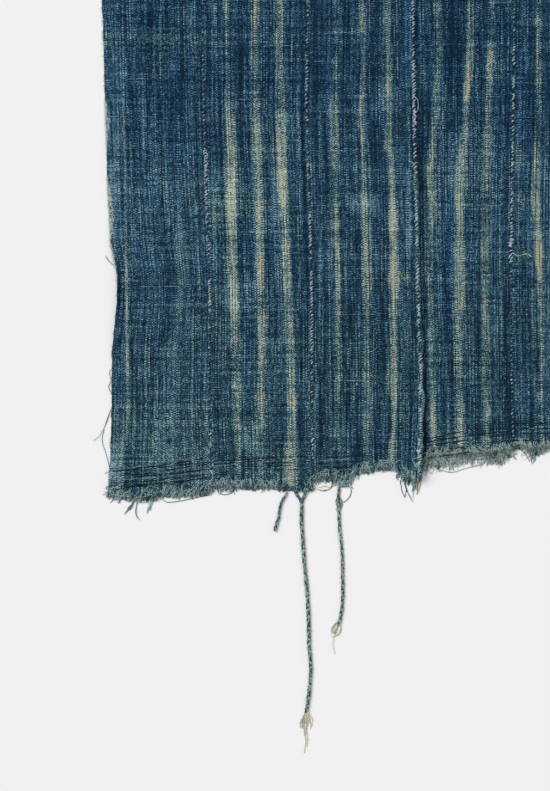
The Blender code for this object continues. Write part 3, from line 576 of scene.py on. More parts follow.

# How far below the cloth's face the slubs dive, as a share of their way, and the radius of the slubs
# and of the dark lines of painted shade between the wefts: at their thinnest, and what is added at their
# thickest.
SLUB_DEPTH, HEM_SLUB_DEPTH = 0.52, 0.42
SLUB_RADIUS, WEFT_GAP_SHADE_RADIUS = (0.2, 0.24), (0.32, 0.34)

# The stitches of each seam. A section has its top and bottom in the picture, the distance between
# its stitches and their length in mm, how pale they are and how unevenly they lie, 0 to 1.
STITCH_COLUMNS = ("top", "bottom", "pitch", "length", "tone", "uneven")
STITCHES = {
    1: (
        (0, 60, 3.9, 2.6, 0.5, 0.6), (60, 100, 4.4, 2.8, 0.35, 0.6), (100, 150, 4.0, 3.0, 0.6, 0.5),
        (150, 173, 2.5, 4.4, 1.1, 0.8), (173, 195, 3.4, 4.0, 1.05, 0.6), (195, 218, 2.6, 3.4, 0.9, 0.8),
        (218, 280, 4.4, 3.2, 0.6, 0.6), (280, 312, 3.0, 3.6, 0.9, 0.4), (312, 430, 3.9, 2.9, 0.4, 0.6),
        (430, 505, 2.8, 4.2, 0.8, 1.0),
    ),
    2: (
        (0, 60, 4.4, 2.8, 0.6, 0.5), (60, 90, 3.6, 3.8, 0.95, 0.3), (90, 160, 4.0, 3.0, 0.65, 0.6),
        (160, 178, 2.4, 3.8, 0.75, 0.9), (192, 215, 3.2, 2.8, 0.7, 0.4), (215, 350, 3.3, 3.7, 1.0, 0.3),
        (350, 490, 3.5, 3.4, 0.6, 0.5),
    ),
    3: (
        (0, 60, 3.5, 3.9, 1.2, 0.35), (60, 113, 3.1, 4.8, 1.5, 0.45), (113, 130, 3.0, 5.0, 1.4, 0.9),
        (130, 161, 3.3, 4.4, 1.2, 0.6), (165, 435, 3.2, 6.6, 1.3, 0.45), (435, 472, 2.0, 5.8, 1.3, 1.0),
    ),
    4: (
        (0, 45, 4.4, 2.8, 0.6, 0.3), (45, 240, 3.7, 3.3, 1.0, 0.35), (240, 262, 2.6, 4.6, 1.0, 1.0),
        (262, 456, 4.6, 2.8, 0.55, 0.4),
    ),
}
PLAIN_STITCH = {"pitch": 5.2, "length": 3.2, "tone": 0.7, "uneven": 0.35}
PLAIN_STITCH_START = 40.0
# The bed of a seam, a dark yarn that paints the shade in the seam's groove: how far below the cloth's face
# it lies, its radius and its height over its width.
BED_SINK, BED_RADIUS, BED_FLAT = 0.65, 1.3, 0.4
TANGLE_LIFT, TANGLE_RADIUS = 0.9, 0.36
STITCH_SLOPE = 0.85
STITCH_RADIUS = 0.56
STITCH_SINK, STITCH_ARCH, CROSSED_ARCH = 0.25, 0.5, 0.4
STITCH_MISSING, STITCH_CROSSED = 0.1, 0.2
# How far stitches stray to the sides, in slope, in tone and in width, and how much darker the ones
# are that cross back.
STITCH_STRAY, STITCH_TURN = (-0.9, 0.9), (-0.7, 0.7)
STITCH_TONES, STITCH_SWELL, CROSSED_DARKER = (-0.55, 0.2), (0.6, 1.3), 0.3
# The roll that stands beside the third seam: its top and bottom in the picture, and its form.
RIB_TOP, RIB_BOTTOM = 163.0, 476.0
RIB_RADIUS, RIB_END, RIB_SIDES = 2.9, 14.0, 14
RIB_FLAT, RIB_WRINKLE, RIB_GREY = 0.62, 0.5, 0.35
RIB_STITCH_ARCH, RIB_STITCH_SINK = 2.1, 0.5
# The dark yarn in the crevice beside it, which paints the shadow there: how far to its side, as a share of
# its radius, how deep and how wide.
CREVICE_SIDE, CREVICE_SINK, CREVICE_RADIUS, CREVICE_FLAT = 0.95, 0.1, 0.6, 0.5
# Small tangles of sewing thread, as routes in the picture.
TANGLES = (
    ((414, 97), (417.6, 101), (417.6, 110), (414.5, 114)),
    ((412.5, 114), (416, 117), (412.5, 120), (416, 123), (412.5, 126), (414.5, 128)),
    ((411, 162), (413.5, 165), (411.5, 167.5)),
    ((418, 446), (422, 450), (418, 455), (422.5, 460), (418.5, 465), (422, 471), (419, 475)),
    ((421.5, 447), (417.5, 452), (421, 457), (417.5, 462), (421, 467), (418, 472)),
    ((512, 253), (518, 256), (526, 254), (531, 257)),
    ((205, 152), (208, 156), (204.5, 160), (208, 164), (205, 168), (207, 171)),
    ((417, 437), (421, 444), (416.5, 450), (421, 458), (417, 466)),
)

# The cloth's grid: columns of a strip and rows, close where the picture shows the cloth.
COLUMNS_DETAILED, COLUMNS_PLAIN = 76, 24
NEAR_ROW, FAR_ROW = 5.6, 14.0
NEAR_ROWS_TOP = 560.0
HEM_ROWS = (0.0, 1.2, 2.6)
EDGE_COLUMNS, MIDDLE_COLUMNS = (0.0, 0.005, 0.012), (0.022, 0.978)
EDGE_ROUNDING, EDGE_ROUNDING_WIDTH = 0.7, 1.5
TORN_DEPTH, TORN_REACH = 2.6, 9.0
WORN_DEPTH, WORN_SHARE = 1.1, 0.03
CURVE_STEPS = 12

# The weave: the pitch of its yarns and how far they wander, in yarns.
WARP_PITCH, WEFT_PITCH = 1.5, 1.29
WARP_WANDER, WEFT_WANDER = 1.4, 1.2
# Frequencies across the strip and along it: how the yarns wander, where the weave slips by a yarn,
# where every other yarn is paler, and where the dye is greenish. The step keeps the strips apart.
WANDER, SLIP, PAIRS, HUE = (0.03, 0.02), (0.31, 0.004), (0.21, 0.01), (0.11, 0.02)
SLIP_YARNS, STRIP_STEP = 7.0, 53.7
# How much of a place takes the weft's shade: where the warp lies on top, and what is added elsewhere.
COVERED_LEAST, COVERED_MORE = 0.15, 0.55
# How the dye changes along the warp, along the weft and in clouds. Each row is a frequency across
# the strip and one along it, for each mm or yarn, and a weight.
WARP_LAYERS = ((7.31, 0.006, 1.6), (3.17, 0.05, 0.7), (5.13, 0.5, 0.4))
WEFT_LAYERS = ((0.015, 5.77, 2.0), (0.25, 2.91, 0.7))
CLOUD_LAYERS = ((0.2, 0.01, 0.35), (0.03, 0.02, 0.32), (0.01, 0.22, 0.45))
WEFT_DARKER = 0.68
SPECK_GAIN, FIBRE_GAIN, PAIR_GAIN = 0.1, 0.68, 1.7
# How much darker each strip is than the first, and how strongly the light and the blue patches show.
STRIP_DARKNESS = {1: 0.0, 2: 0.25, 3: 0.37, 4: 0.36, 5: 0.27}
PLAIN_DARKNESS = 0.3
LIGHT_GAIN, BLUE_GAIN = 5, 0.6
# The cloth's colours from the deepest dye to the palest, each a level and red, green and blue
# from 0 to 255: where the dye is blue, where it is greenish, and in the pale streaks.
BLUE_DYE = (
    (0.0, (9, 30, 50)), (0.3, (30, 63, 88)), (0.55, (62, 105, 128)), (0.8, (112, 150, 166)),
    (1.0, (160, 186, 192)),
)
TEAL_DYE = (
    (0.0, (12, 30, 42)), (0.3, (32, 64, 79)), (0.55, (66, 107, 119)), (0.8, (118, 152, 154)),
    (1.0, (172, 190, 180)),
)
STREAK_DYE = (
    (0.0, (10, 30, 46)), (0.25, (34, 66, 88)), (0.45, (68, 106, 118)), (0.62, (110, 142, 141)),
    (0.8, (160, 178, 158)), (1.0, (208, 208, 180)),
)
BASE_LEVEL = 0.557
STREAK_GAIN, STREAK_RAGGED = 0.46, 2.0
# A streak is full up to the first share of its half width, and gone at the second and a little more.
STREAK_FULL, STREAK_GONE, STREAK_GONE_MORE = 0.35, 1.6, 1.0
# What a streak takes from the weave's unevenness and, where the weft covers it, from its own paleness.
STREAK_CALMS, STREAK_COVERED = 0.15, 0.5
GREY_LIGHT, GREY_SPECK, DARK_GAIN = 0.12, 0.2, 0.2
# What makes the dye greenish, and what shows the streaks' colours. A span is where a step runs.
TEAL_HUE, TEAL_BLUE, TEAL_GREY, TEAL_SPAN = 1.5, -0.6, 0.8, (0.1, 0.9)
STREAKED_GREY, STREAKED_SPAN = 0.22, (0.05, 0.4)
OCHRE, OCHRE_SHARE = (208, 188, 148), 0.35
OCHRE_WARM, OCHRE_SPAN, OCHRE_INSIDE = 0.6, (0.3, 0.75), (0.3, 0.8)
# What the blue places multiply red, green and blue by.
BLUE_CAST, STREAK_HIDES_CAST = (0.88, 1.0, 1.14), 0.7
# How the cloth's brightness and its blue change down the picture.
TREND_COLUMNS = ("v", "light", "cool")
TREND = (
    (-200, 0, 0.3), (0, -0.05, 0.4), (140, -0.035, 0.35), (180, 0.04, 0.25), (250, 0.045, 0.2),
    (300, 0.01, 0.1), (350, -0.02, 0), (400, 0.005, 0), (450, -0.01, 0.05), (500, 0.01, 0),
)

# The yarns: their dyed, pale and fleck colour, and from where in the noise the pale parts and the
# flecks begin.
YARNS = {
    "plait_yarn": ((42, 70, 78), (170, 190, 180), (208, 198, 162), 0.42, 0.62),
    "twist_yarn": ((48, 84, 96), (150, 180, 184), (200, 208, 190), 0.4, 0.68),
    "faded_yarn": ((50, 86, 104), (128, 156, 158), (196, 192, 162), 0.5, 0.66),
    "undyed_yarn": ((200, 195, 172), (244, 239, 222), (226, 206, 160), 0.4, 0.64),
    "torn_yarn": ((26, 72, 92), (190, 224, 222), (232, 230, 206), 0.44, 0.66),
    "torn_pale_yarn": ((38, 82, 96), (200, 222, 212), (228, 224, 196), 0.44, 0.66),
    "sewing_thread": ((88, 126, 142), (198, 220, 228), (226, 230, 222), 0.42, 0.7),
    # The navy yarn paints shade: it lies in the seams' grooves, in the crevice beside the rib and in the
    # gaps between wefts above the hem.
    "navy_shade_yarn": ((18, 33, 50), (36, 62, 82), (26, 46, 64), 0.6, 0.8),
    "slub_yarn": ((72, 112, 128), (158, 182, 178), (204, 202, 176), 0.42, 0.66),
    "loop_yarn": ((92, 96, 84), (206, 206, 178), (206, 184, 140), 0.4, 0.64),
    "worn_yarn": ((206, 222, 224), (248, 250, 248), (240, 242, 236), 0.4, 0.7),
}
YARN_ROUND, YARN_PATCHES, YARN_FLECKS = 0.6, 0.45, 0.3
YARN_TONE_GAIN = 0.6
PALE_FADE, FLECK_FADE, FLECK_SHARE = 0.16, 0.08, 0.85
PLIES, PLY_TWIST = 2, 1.6
# Bumps are in metres, as the materials take them.
YARN_BUMP, WEAVE_BUMP, BUMP_STRENGTH = 0.00012, 0.00016, 0.7
# Up to what height the hollows between yarns are shaded, and how dark their bottom is.
HOLLOW_TOP, HOLLOW_SHADE = 0.75, 0.8
# Roughness, sheen and the sheen's tint.
CLOTH_FINISH = (0.92, 0.03, (0.6, 0.75, 0.85))
YARN_FINISH = (0.9, 0.05, (0.8, 0.85, 0.85))


def shade(red, green, blue):
    """A colour given from 0 to 255 as linear parts."""
    parts = []
    for value in (red, green, blue):
        value /= 255
        parts.append(value / 12.92 if value <= 0.04045 else ((value + 0.055) / 1.055) ** 2.4)
    return tuple(parts)


def ease(t):
    """0 to 1 with level ends."""
    t = np.clip(t, 0.0, 1.0)
    return t * t * (3 - 2 * t)


def named_rows(columns, rows):
    """A table's rows, each with its values by name."""
    return [dict(zip(columns, row)) for row in rows]


def named_columns(columns, rows):
    """A table's columns by name, for reading between its rows."""
    return {name: np.array(values, float) for name, values in zip(columns, zip(*rows))}


def from_picture(u, v):
    """The place on the sheet, in mm, of a place in the picture."""
    return (u - ZERO_U) * PIXEL, (ZERO_V - v) * PIXEL


def heights(*places):
    """The heights on the sheet, in mm, of places down the picture."""
    return [(ZERO_V - v) * PIXEL for v in places]


def on_sheet(stops):
    """A route in the picture as a route on the sheet."""
    return np.array([from_picture(u, v) for u, v in stops])


def to_world(points):
    """Sheet places in mm as model places in metres."""
    return (np.asarray(points, float) + (SHEET_LEFT, SHEET_BASE, 0.0)) * MM


@functools.cache
def noise_table(seed):
    return np.random.default_rng(seed).random((256, 256))


def soft_noise(x, y, size_x, size_y, seed):
    """Smooth noise from 0 to 1 with blotches of the given sizes, the same for one place and seed."""
    table = noise_table(seed)
    cells = len(table)
    u, v = np.asarray(x) / size_x, np.asarray(y) / size_y
    i, j = np.floor(u).astype(int), np.floor(v).astype(int)
    a, b = ease(u - i), ease(v - j)
    i, j, right, above = i % cells, j % cells, (i + 1) % cells, (j + 1) % cells
    low = table[i, j] * (1 - a) + table[right, j] * a
    high = table[i, above] * (1 - a) + table[right, above] * a
    return low * (1 - b) + high * b


def line_x(line, y):
    """Where an edge line between strips runs."""
    sway = SWAY * np.sin(2 * np.pi * (y / SWAY_LENGTH + SWAY_PHASE * line))
    if line not in DRIFT:
        return line * STRIP_WIDTH + sway
    drift = np.interp(y, DRIFT_HEIGHTS, DRIFT[line])
    return line * STRIP_WIDTH + drift + sway * ease((y - SWAY_FROM) / (SWAY_FULL - SWAY_FROM))


def strip_x(strip, share, y):
    """The x of a share of a strip's width, inside the small gap that joined strips keep."""
    left = line_x(strip - 1, y) + JOIN_GAP / 2
    right = line_x(strip, y) - JOIN_GAP / 2
    return left + (right - left) * share


def strip_share(strip, x, y):
    """The share of a strip's width that x lies at."""
    left, right = line_x(strip - 1, y), line_x(strip, y)
    return (x - left) / (right - left)


def hem_height(strip, share):
    """The hem's height at a share of the strip's width."""
    lock_count = LOCKS_DETAILED if strip <= DETAILED_STRIPS else LOCKS_PLAIN
    locks, hem = zip(*HEM[strip])
    return np.interp(np.asarray(share) * lock_count, locks, hem)


def seam_hem(line):
    """The height of the upper hem of the two strips that a seam joins."""
    return max(float(hem_height(line, 1.0)), float(hem_height(line + 1, 0.0)))


def fold_height(x, y):
    """The sum of the soft ridges that the cloth lies in."""
    x, y = np.broadcast_arrays(np.asarray(x, float), np.asarray(y, float))
    total = np.zeros(x.shape)
    for fold in named_rows(FOLD_COLUMNS, FOLDS):
        reach = max(fold["half_length"], fold["half_width"])
        if abs(x.mean() - fold["x"]) > reach + np.ptp(x) or abs(y.mean() - fold["y"]) > reach + np.ptp(y):
            continue
        turn = math.radians(fold["turn"])
        across, along = x - fold["x"], y - fold["y"]
        u = (across * math.cos(turn) + along * math.sin(turn)) / fold["half_width"]
        v = (along * math.cos(turn) - across * math.sin(turn)) / fold["half_length"]
        total += fold["height"] * np.clip(1 - u * u - v * v, 0, None) ** 2
    return total


def edge_height(strip, share, y):
    """How far the curled left edge, the sewn edges and the standing rib lift a strip."""
    total = np.zeros(np.broadcast(share, y).shape)
    if strip == 1:
        middle, half = (CURL_FROM + CURL_TO) / 2, (CURL_TO - CURL_FROM) / 2
        along = np.clip(1 - ((y - middle) / half) ** 2, 0, None)
        total += CURL_HEIGHT * along * np.clip(1 - share / CURL_SHARE, 0, None) ** 2
    for line, away in ((strip - 1, share), (strip, 1 - share)):
        if line in (0, STRIP_COUNT):
            continue
        wave = 0.5 + 0.5 * np.sin(2 * np.pi * (y / SEAM_LIFT_LENGTH + SEAM_LIFT_PHASE * line))
        lift = SEAM_LIFT * wave
        if line == RIB_SEAM:
            lift = lift + RIB_HEIGHT * (0.75 + 0.25 * wave)
        total += lift * (1 - ease(away / SEAM_SHARE))
    return total


def ripple_height(x, y):
    """Fine puckers of the cloth, above the solids' surface."""
    wide = soft_noise(x, y, 26.0, 40.0, 11) ** 2
    fine = soft_noise(x, y, 9.0, 13.0, 12)
    return WIDE_RIPPLE * wide + FINE_RIPPLE * fine


def underside(strip, share, y):
    """The height of a strip's lower face."""
    x = strip_x(strip, share, y)
    return fold_height(x, y) + edge_height(strip, share, y) + ripple_height(x, y)


def strips_near(x):
    """The strips that places with these x can lie on."""
    first = int((np.min(x) - WIDEST_DRIFT) // STRIP_WIDTH) + 1
    last = int((np.max(x) + WIDEST_DRIFT) // STRIP_WIDTH) + 1
    return range(max(1, first), min(STRIP_COUNT, last) + 1)


def top_height(x, y):
    """The height of the cloth's upper face at each place."""
    height = fold_height(x, y) + ripple_height(x, y) + CLOTH_THICKNESS
    for strip in strips_near(x):
        share = strip_share(strip, x, y)
        on_strip = (share >= 0) & (share < 1)
        height = height + np.where(on_strip, edge_height(strip, np.clip(share, 0, 1), y), 0.0)
    return height


def rest_height(x, y):
    """The height of a loose yarn: on the cloth above the hem, and down to the floor below it."""
    height = np.full(x.shape, FLOOR_CLEAR)
    top = top_height(x, y) + CLOTH_CLEAR
    for strip in strips_near(x):
        share = strip_share(strip, x, y)
        inside = (share >= 0) & (share < 1)
        above = y - hem_height(strip, np.clip(share, 0, 1))
        on_cloth = ease((above + SLOPE_BELOW_HEM) / SLOPE_LENGTH)
        height = np.where(inside, FLOOR_CLEAR + (top - FLOOR_CLEAR) * on_cloth, height)
    return height


def link(obj):
    """Puts an object into the scene."""
    bpy.context.scene.collection.objects.link(obj)
    return obj


def new_object(name, points, faces, material):
    """A mesh object made of points in sheet mm."""
    mesh = bpy.data.meshes.new(name)
    mesh.from_pydata(to_world(points).tolist(), [], faces)
    mesh.materials.append(material)
    mesh.shade_smooth()
    mesh.update()
    return link(bpy.data.objects.new(name, mesh))


def set_attribute(obj, name, *parts):
    """A three-part value on each point, for the material."""
    values = np.stack(parts, axis=-1)
    attribute = obj.data.attributes.new(name, "FLOAT_VECTOR", "POINT")
    attribute.data.foreach_set("vector", np.asarray(values, dtype=np.float32).ravel())


class Bundle:
    """Many yarns that end as one mesh, each a closed tube with pinched ends."""

    def __init__(self):
        self.points, self.faces, self.yarn = [], [], []

    def add(self, route, radius, sides=3, tone=0.5, taper=0.25, flat=1.0):
        """A yarn along a route. Tone picks its colour, and flat is its height over its width."""
        route = np.asarray(route, float)
        count = len(route)
        ahead = np.gradient(route, axis=0)
        side = unit(np.stack([ahead[:, 1], -ahead[:, 0], np.zeros(count)], axis=1))
        up = unit(np.cross(side, ahead))
        radii = np.broadcast_to(np.asarray(radius, float), (count,)).copy()
        radii[[0, -1]] *= taper
        along = distances(route)
        first = len(self.points)
        for k in range(sides):
            angle = 2 * math.pi * (k + 0.25) / sides
            offset = side * math.cos(angle) + up * (math.sin(angle) * flat)
            self.points.extend((route + offset * radii[:, None]).tolist())
            self.yarn.extend([(k / sides, place, tone) for place in along])
        for k in range(sides):
            a, b = first + k * count, first + (k + 1) % sides * count
            self.faces.extend([(a + i, a + i + 1, b + i + 1, b + i) for i in range(count - 1)])
        self.faces.append(tuple(first + k * count for k in range(sides)))
        self.faces.append(tuple(first + k * count + count - 1 for k in reversed(range(sides))))

    def build(self, name, material):
        """The piece that the yarns make, which rides on the throw's one body."""
        obj = new_object(name, self.points, self.faces, material)
        set_attribute(obj, "yarn", *np.transpose(self.yarn))
        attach(obj, "root")
        return obj


def unit(rows):
    """Directions made one long, where they aren't zero."""
    return rows / np.maximum(np.linalg.norm(rows, axis=1, keepdims=True), 1e-6)


def distances(route):
    """How far along a route each of its points lies."""
    steps = np.linalg.norm(np.diff(route, axis=0), axis=1)
    return np.concatenate([[0.0], np.cumsum(steps)])


def beside(route):
    """The level direction to the side of each point of a route."""
    ahead = np.gradient(route, axis=0)
    return unit(np.stack([ahead[:, 1], -ahead[:, 0], np.zeros(len(route))], axis=1))


def curve_through(stops, step):
    """Points about a step apart on a smooth curve through the stops."""
    stops = np.asarray(stops, float)
    padded = np.vstack([2 * stops[0] - stops[1], stops, 2 * stops[-1] - stops[-2]])
    line = []
    for before, first, second, after in zip(padded, padded[1:], padded[2:], padded[3:]):
        for t in np.arange(CURVE_STEPS) / CURVE_STEPS:
            line.append(0.5 * (
                2 * first
                + (second - before) * t
                + (2 * before - 5 * first + 4 * second - after) * t**2
                + (3 * first - 3 * second + after - before) * t**3
            ))
    line = np.vstack([line, stops[-1]])
    lengths = distances(line)
    places = np.linspace(0, lengths[-1], max(2, round(lengths[-1] / step) + 1))
    return np.stack([np.interp(places, lengths, line[:, k]) for k in range(stops.shape[1])], axis=1)


def wavy_route(stops, step, swing, chance):
    """A route through stops that also wavers to the sides."""
    route = curve_through(stops, step)
    along = np.linspace(0, 1, len(route))
    turns = chance.uniform(0.6, 1.8)
    phase = chance.uniform(0, 2 * math.pi)
    sway = swing * np.sin(2 * math.pi * turns * along + phase) * np.sin(math.pi * (0.1 + 0.8 * along))
    return route + beside(route)[:, :2] * sway[:, None]


def lay_loose(route, lift):
    """A loose yarn's route, on the cloth above the hem and on the floor below it."""
    return np.column_stack([route, rest_height(route[:, 0], route[:, 1]) + lift])


def lay_on_cloth(stops, step, lift):
    """A route in the picture laid on the cloth's upper face."""
    route = curve_through(on_sheet(stops), step)
    return np.column_stack([route, top_height(route[:, 0], route[:, 1]) + lift])


class Nodes:
    """Short ways to add and join the nodes of one material."""

    def __init__(self, name):
        self.material = bpy.data.materials.new(name)
        self.material.use_nodes = True
        self.tree = self.material.node_tree
        self.shader = self.tree.nodes["Principled BSDF"]

    def add(self, kind, *values):
        """A node of a kind, with the values on its first sockets."""
        node = self.tree.nodes.new("ShaderNode" + kind)
        for value, socket in zip(values, node.inputs):
            self.put(value, socket)
        return node

    def put(self, value, socket):
        """Joins an output to a socket, or sets the socket to a plain value."""
        if isinstance(value, bpy.types.NodeSocket):
            self.tree.links.new(value, socket)
        else:
            socket.default_value = value

    def math(self, operation, *values):
        node = self.add("Math", *values)
        node.operation = operation
        return node.outputs[0]

    def plus(self, first, second):
        return self.math("ADD", first, second)

    def minus(self, first, second):
        return self.math("SUBTRACT", first, second)

    def times(self, first, second):
        return self.math("MULTIPLY", first, second)

    def line(self, value, slope, start):
        """A value times a slope, plus a start."""
        return self.math("MULTIPLY_ADD", value, slope, start)

    def ramp(self, value, low, high, out_low=0.0, out_high=1.0):
        """A smooth step from low to high."""
        node = self.add("MapRange", value, low, high, out_low, out_high)
        node.interpolation_type = "SMOOTHSTEP"
        return node.outputs[0]

    def mix(self, share, first, second, blend="MIX"):
        """Two colours mixed. Sockets 6 and 7 of the node are its colours."""
        node = self.add("Mix")
        node.data_type = "RGBA"
        node.blend_type = blend
        for value, place in ((share, 0), (first, 6), (second, 7)):
            if isinstance(value, tuple):
                value = (*value, 1.0)
            self.put(value, node.inputs[place])
        return node.outputs[2]

    def join(self, x, y, z):
        return self.add("CombineXYZ", x, y, z).outputs[0]

    def split(self, name):
        """The three parts of a point value."""
        source = self.add("Attribute")
        source.attribute_name = name
        return tuple(self.add("SeparateXYZ", source.outputs["Vector"]).outputs)

    def noise(self, place, scale, detail):
        node = self.add("TexNoise", place)
        node.inputs["Scale"].default_value = scale
        node.inputs["Detail"].default_value = detail
        return node.outputs["Fac"]

    def field(self, x, y, own, across, along):
        """Soft noise around zero, from two values with a frequency each."""
        place = self.join(self.times(x, across), self.times(y, along), own)
        return self.minus(self.noise(place, 1.0, 2.0), 0.5)

    def layers(self, x, y, own, rows):
        """Soft noise in layers. Each row is a frequency for x, one for y and a weight."""
        return self.weighted(*((self.field(x, y, own, *row[:2]), row[2]) for row in rows))

    def weighted(self, *pairs):
        """The sum of values with their weights."""
        total = 0.0
        for value, weight in pairs:
            total = self.line(value, weight, total)
        return total

    def palette(self, value, stops):
        """Colours in turn as the value rises."""
        node = self.add("ValToRGB", value)
        elements = node.color_ramp.elements
        while len(elements) < len(stops):
            elements.new(0.5)
        for element, (place, colour) in zip(elements, stops):
            element.position = place
            element.color = (*shade(*colour), 1.0)
        return node.outputs[0]

    def chance(self, x, y, z):
        """A random value around zero for each place."""
        node = self.add("TexWhiteNoise", self.join(x, y, z))
        return self.minus(node.outputs["Value"], 0.5)

    def bump(self, height, distance, strength):
        node = self.add("Bump")
        self.put(height, node.inputs["Height"])
        node.inputs["Distance"].default_value = distance
        node.inputs["Strength"].default_value = strength
        self.put(node.outputs[0], self.shader.inputs["Normal"])

    def finish(self, colour, roughness, sheen, sheen_tint):
        self.put(colour, self.shader.inputs["Base Color"])
        self.put(roughness, self.shader.inputs["Roughness"])
        self.shader.inputs["Sheen Weight"].default_value = sheen
        self.shader.inputs["Sheen Roughness"].default_value = 0.5
        self.shader.inputs["Sheen Tint"].default_value = (*sheen_tint, 1.0)
        self.shader.inputs["Specular IOR Level"].default_value = 0.08
        return self.material


@functools.cache
def yarn_material(name):
    """Spun cotton with patchy dye. Each yarn's tone shifts it towards the light colour."""
    dark, light, fleck, pale_from, fleck_from = YARNS[name]
    nodes = Nodes(name)
    around, along, tone = nodes.split("yarn")
    turn = nodes.times(nodes.math("SINE", nodes.times(around, 2 * math.pi)), YARN_ROUND)
    place = nodes.join(turn, nodes.times(along, YARN_PATCHES), nodes.times(tone, 37.0))
    shifted = nodes.plus(nodes.noise(place, 1.0, 3.0), nodes.times(nodes.minus(tone, 0.5), YARN_TONE_GAIN))
    pale = nodes.ramp(shifted, pale_from, pale_from + PALE_FADE)
    spot_place = nodes.join(turn, nodes.times(along, YARN_FLECKS), nodes.plus(tone, 9.0))
    spot = nodes.ramp(nodes.noise(spot_place, 1.3, 2.0), fleck_from, fleck_from + FLECK_FADE)
    colour = nodes.mix(pale, shade(*dark), shade(*light))
    colour = nodes.mix(nodes.times(spot, FLECK_SHARE), colour, shade(*fleck))
    turns = nodes.plus(nodes.times(along, PLY_TWIST), around)
    nodes.bump(nodes.math("SINE", nodes.times(turns, 2 * math.pi * PLIES)), YARN_BUMP, BUMP_STRENGTH)
    return nodes.finish(colour, *YARN_FINISH)


@functools.cache
def weave_material():
    """Plain weave of uneven hand-spun yarn. One level of dye, from dark to pale, picks its colour."""
    nodes = Nodes("indigo_weave")
    across, along, strip = nodes.split("weave")
    own = nodes.times(strip, STRIP_STEP)
    wander = nodes.field(across, along, own, *WANDER)
    u = nodes.plus(nodes.math("DIVIDE", across, WARP_PITCH), nodes.times(wander, WARP_WANDER))
    v = nodes.plus(nodes.math("DIVIDE", along, WEFT_PITCH), nodes.times(wander, WEFT_WANDER))
    warp, weft = nodes.math("FLOOR", u), nodes.math("FLOOR", v)
    slip = nodes.math("FLOOR", nodes.times(nodes.field(warp, along, own, *SLIP), SLIP_YARNS))
    crossing = nodes.weighted((weft, 1.0), (warp, 1.0), (slip, 1.0))
    weft_over = nodes.math("FLOORED_MODULO", crossing, 2.0)

    warp_level = nodes.layers(warp, along, own, WARP_LAYERS)
    weft_level = nodes.minus(nodes.layers(across, weft, own, WEFT_LAYERS), WEFT_DARKER)
    covered = nodes.line(weft_over, COVERED_MORE, COVERED_LEAST)
    yarns = nodes.plus(warp_level, nodes.times(covered, nodes.minus(weft_level, warp_level)))
    clouds = nodes.layers(across, along, own, CLOUD_LAYERS)
    speck = nodes.chance(warp, weft, strip)
    fibre = nodes.chance(nodes.math("FLOOR", nodes.times(u, 2.0)), weft, strip)
    every_other = nodes.minus(nodes.math("FLOORED_MODULO", warp, 2.0), 0.5)
    paired = nodes.times(every_other, nodes.field(warp, along, own, *PAIRS))
    varied = nodes.weighted(
        (yarns, 1.0), (clouds, 1.0), (speck, SPECK_GAIN), (fibre, FIBRE_GAIN), (paired, PAIR_GAIN)
    )

    inside = streak_share(nodes, warp_level)
    level = dye_level(nodes, varied, inside, covered, speck)
    hue = nodes.field(across, along, own, *HUE)
    colour = dye_colour(nodes, level, inside, hue, warp_level)
    cavity = weave_relief(nodes, u, v, weft_over)
    return nodes.finish(nodes.mix(1.0, colour, cavity, "MULTIPLY"), *CLOTH_FINISH)


def streak_share(nodes, warp_level):
    """How much of a pale streak each place has. Its sides are ragged, yarn by yarn."""
    distance, half, pale = nodes.split("streak")
    ragged = nodes.weighted((distance, 1.0), (warp_level, STREAK_RAGGED))
    inner = nodes.times(half, STREAK_FULL)
    outer = nodes.line(half, STREAK_GONE, STREAK_GONE_MORE)
    return nodes.times(nodes.ramp(ragged, inner, outer, 1.0, 0.0), pale)


def dye_level(nodes, varied, inside, covered, speck):
    """How pale each place is, from its yarns, its streak and how dark its part of the cloth is, by dye and,
    in a few dark patches, by painted shade.
    """
    grey = nodes.split("tint")[2]
    dark = nodes.split("tone")[0]
    held = nodes.minus(1.0, nodes.times(covered, STREAK_COVERED))
    level = nodes.weighted(
        (varied, nodes.line(inside, -STREAK_CALMS, 1.0)),
        (nodes.times(inside, held), STREAK_GAIN),
        (nodes.line(speck, GREY_SPECK, GREY_LIGHT), grey),
        (dark, -DARK_GAIN),
    )
    return nodes.plus(level, BASE_LEVEL)


def dye_colour(nodes, level, inside, hue, warp_level):
    """The colour of a level of dye, with the casts of its place."""
    warm, blue, grey = nodes.split("tint")
    teal = nodes.weighted((hue, TEAL_HUE), (blue, TEAL_BLUE), (grey, TEAL_GREY))
    teal = nodes.ramp(nodes.plus(teal, 0.5), *TEAL_SPAN)
    colour = nodes.mix(teal, nodes.palette(level, BLUE_DYE), nodes.palette(level, TEAL_DYE))
    streaked = nodes.ramp(nodes.weighted((inside, 1.0), (grey, STREAKED_GREY)), *STREAKED_SPAN)
    colour = nodes.mix(streaked, colour, nodes.palette(level, STREAK_DYE))
    ochre = nodes.ramp(nodes.weighted((warm, OCHRE_WARM), (warp_level, 1.0)), *OCHRE_SPAN)
    ochre = nodes.times(ochre, nodes.ramp(inside, *OCHRE_INSIDE))
    colour = nodes.mix(nodes.times(ochre, OCHRE_SHARE), colour, shade(*OCHRE))
    cast = nodes.times(blue, nodes.line(inside, -STREAK_HIDES_CAST, 1.0))
    return nodes.mix(cast, colour, nodes.mix(1.0, colour, BLUE_CAST, "MULTIPLY"))


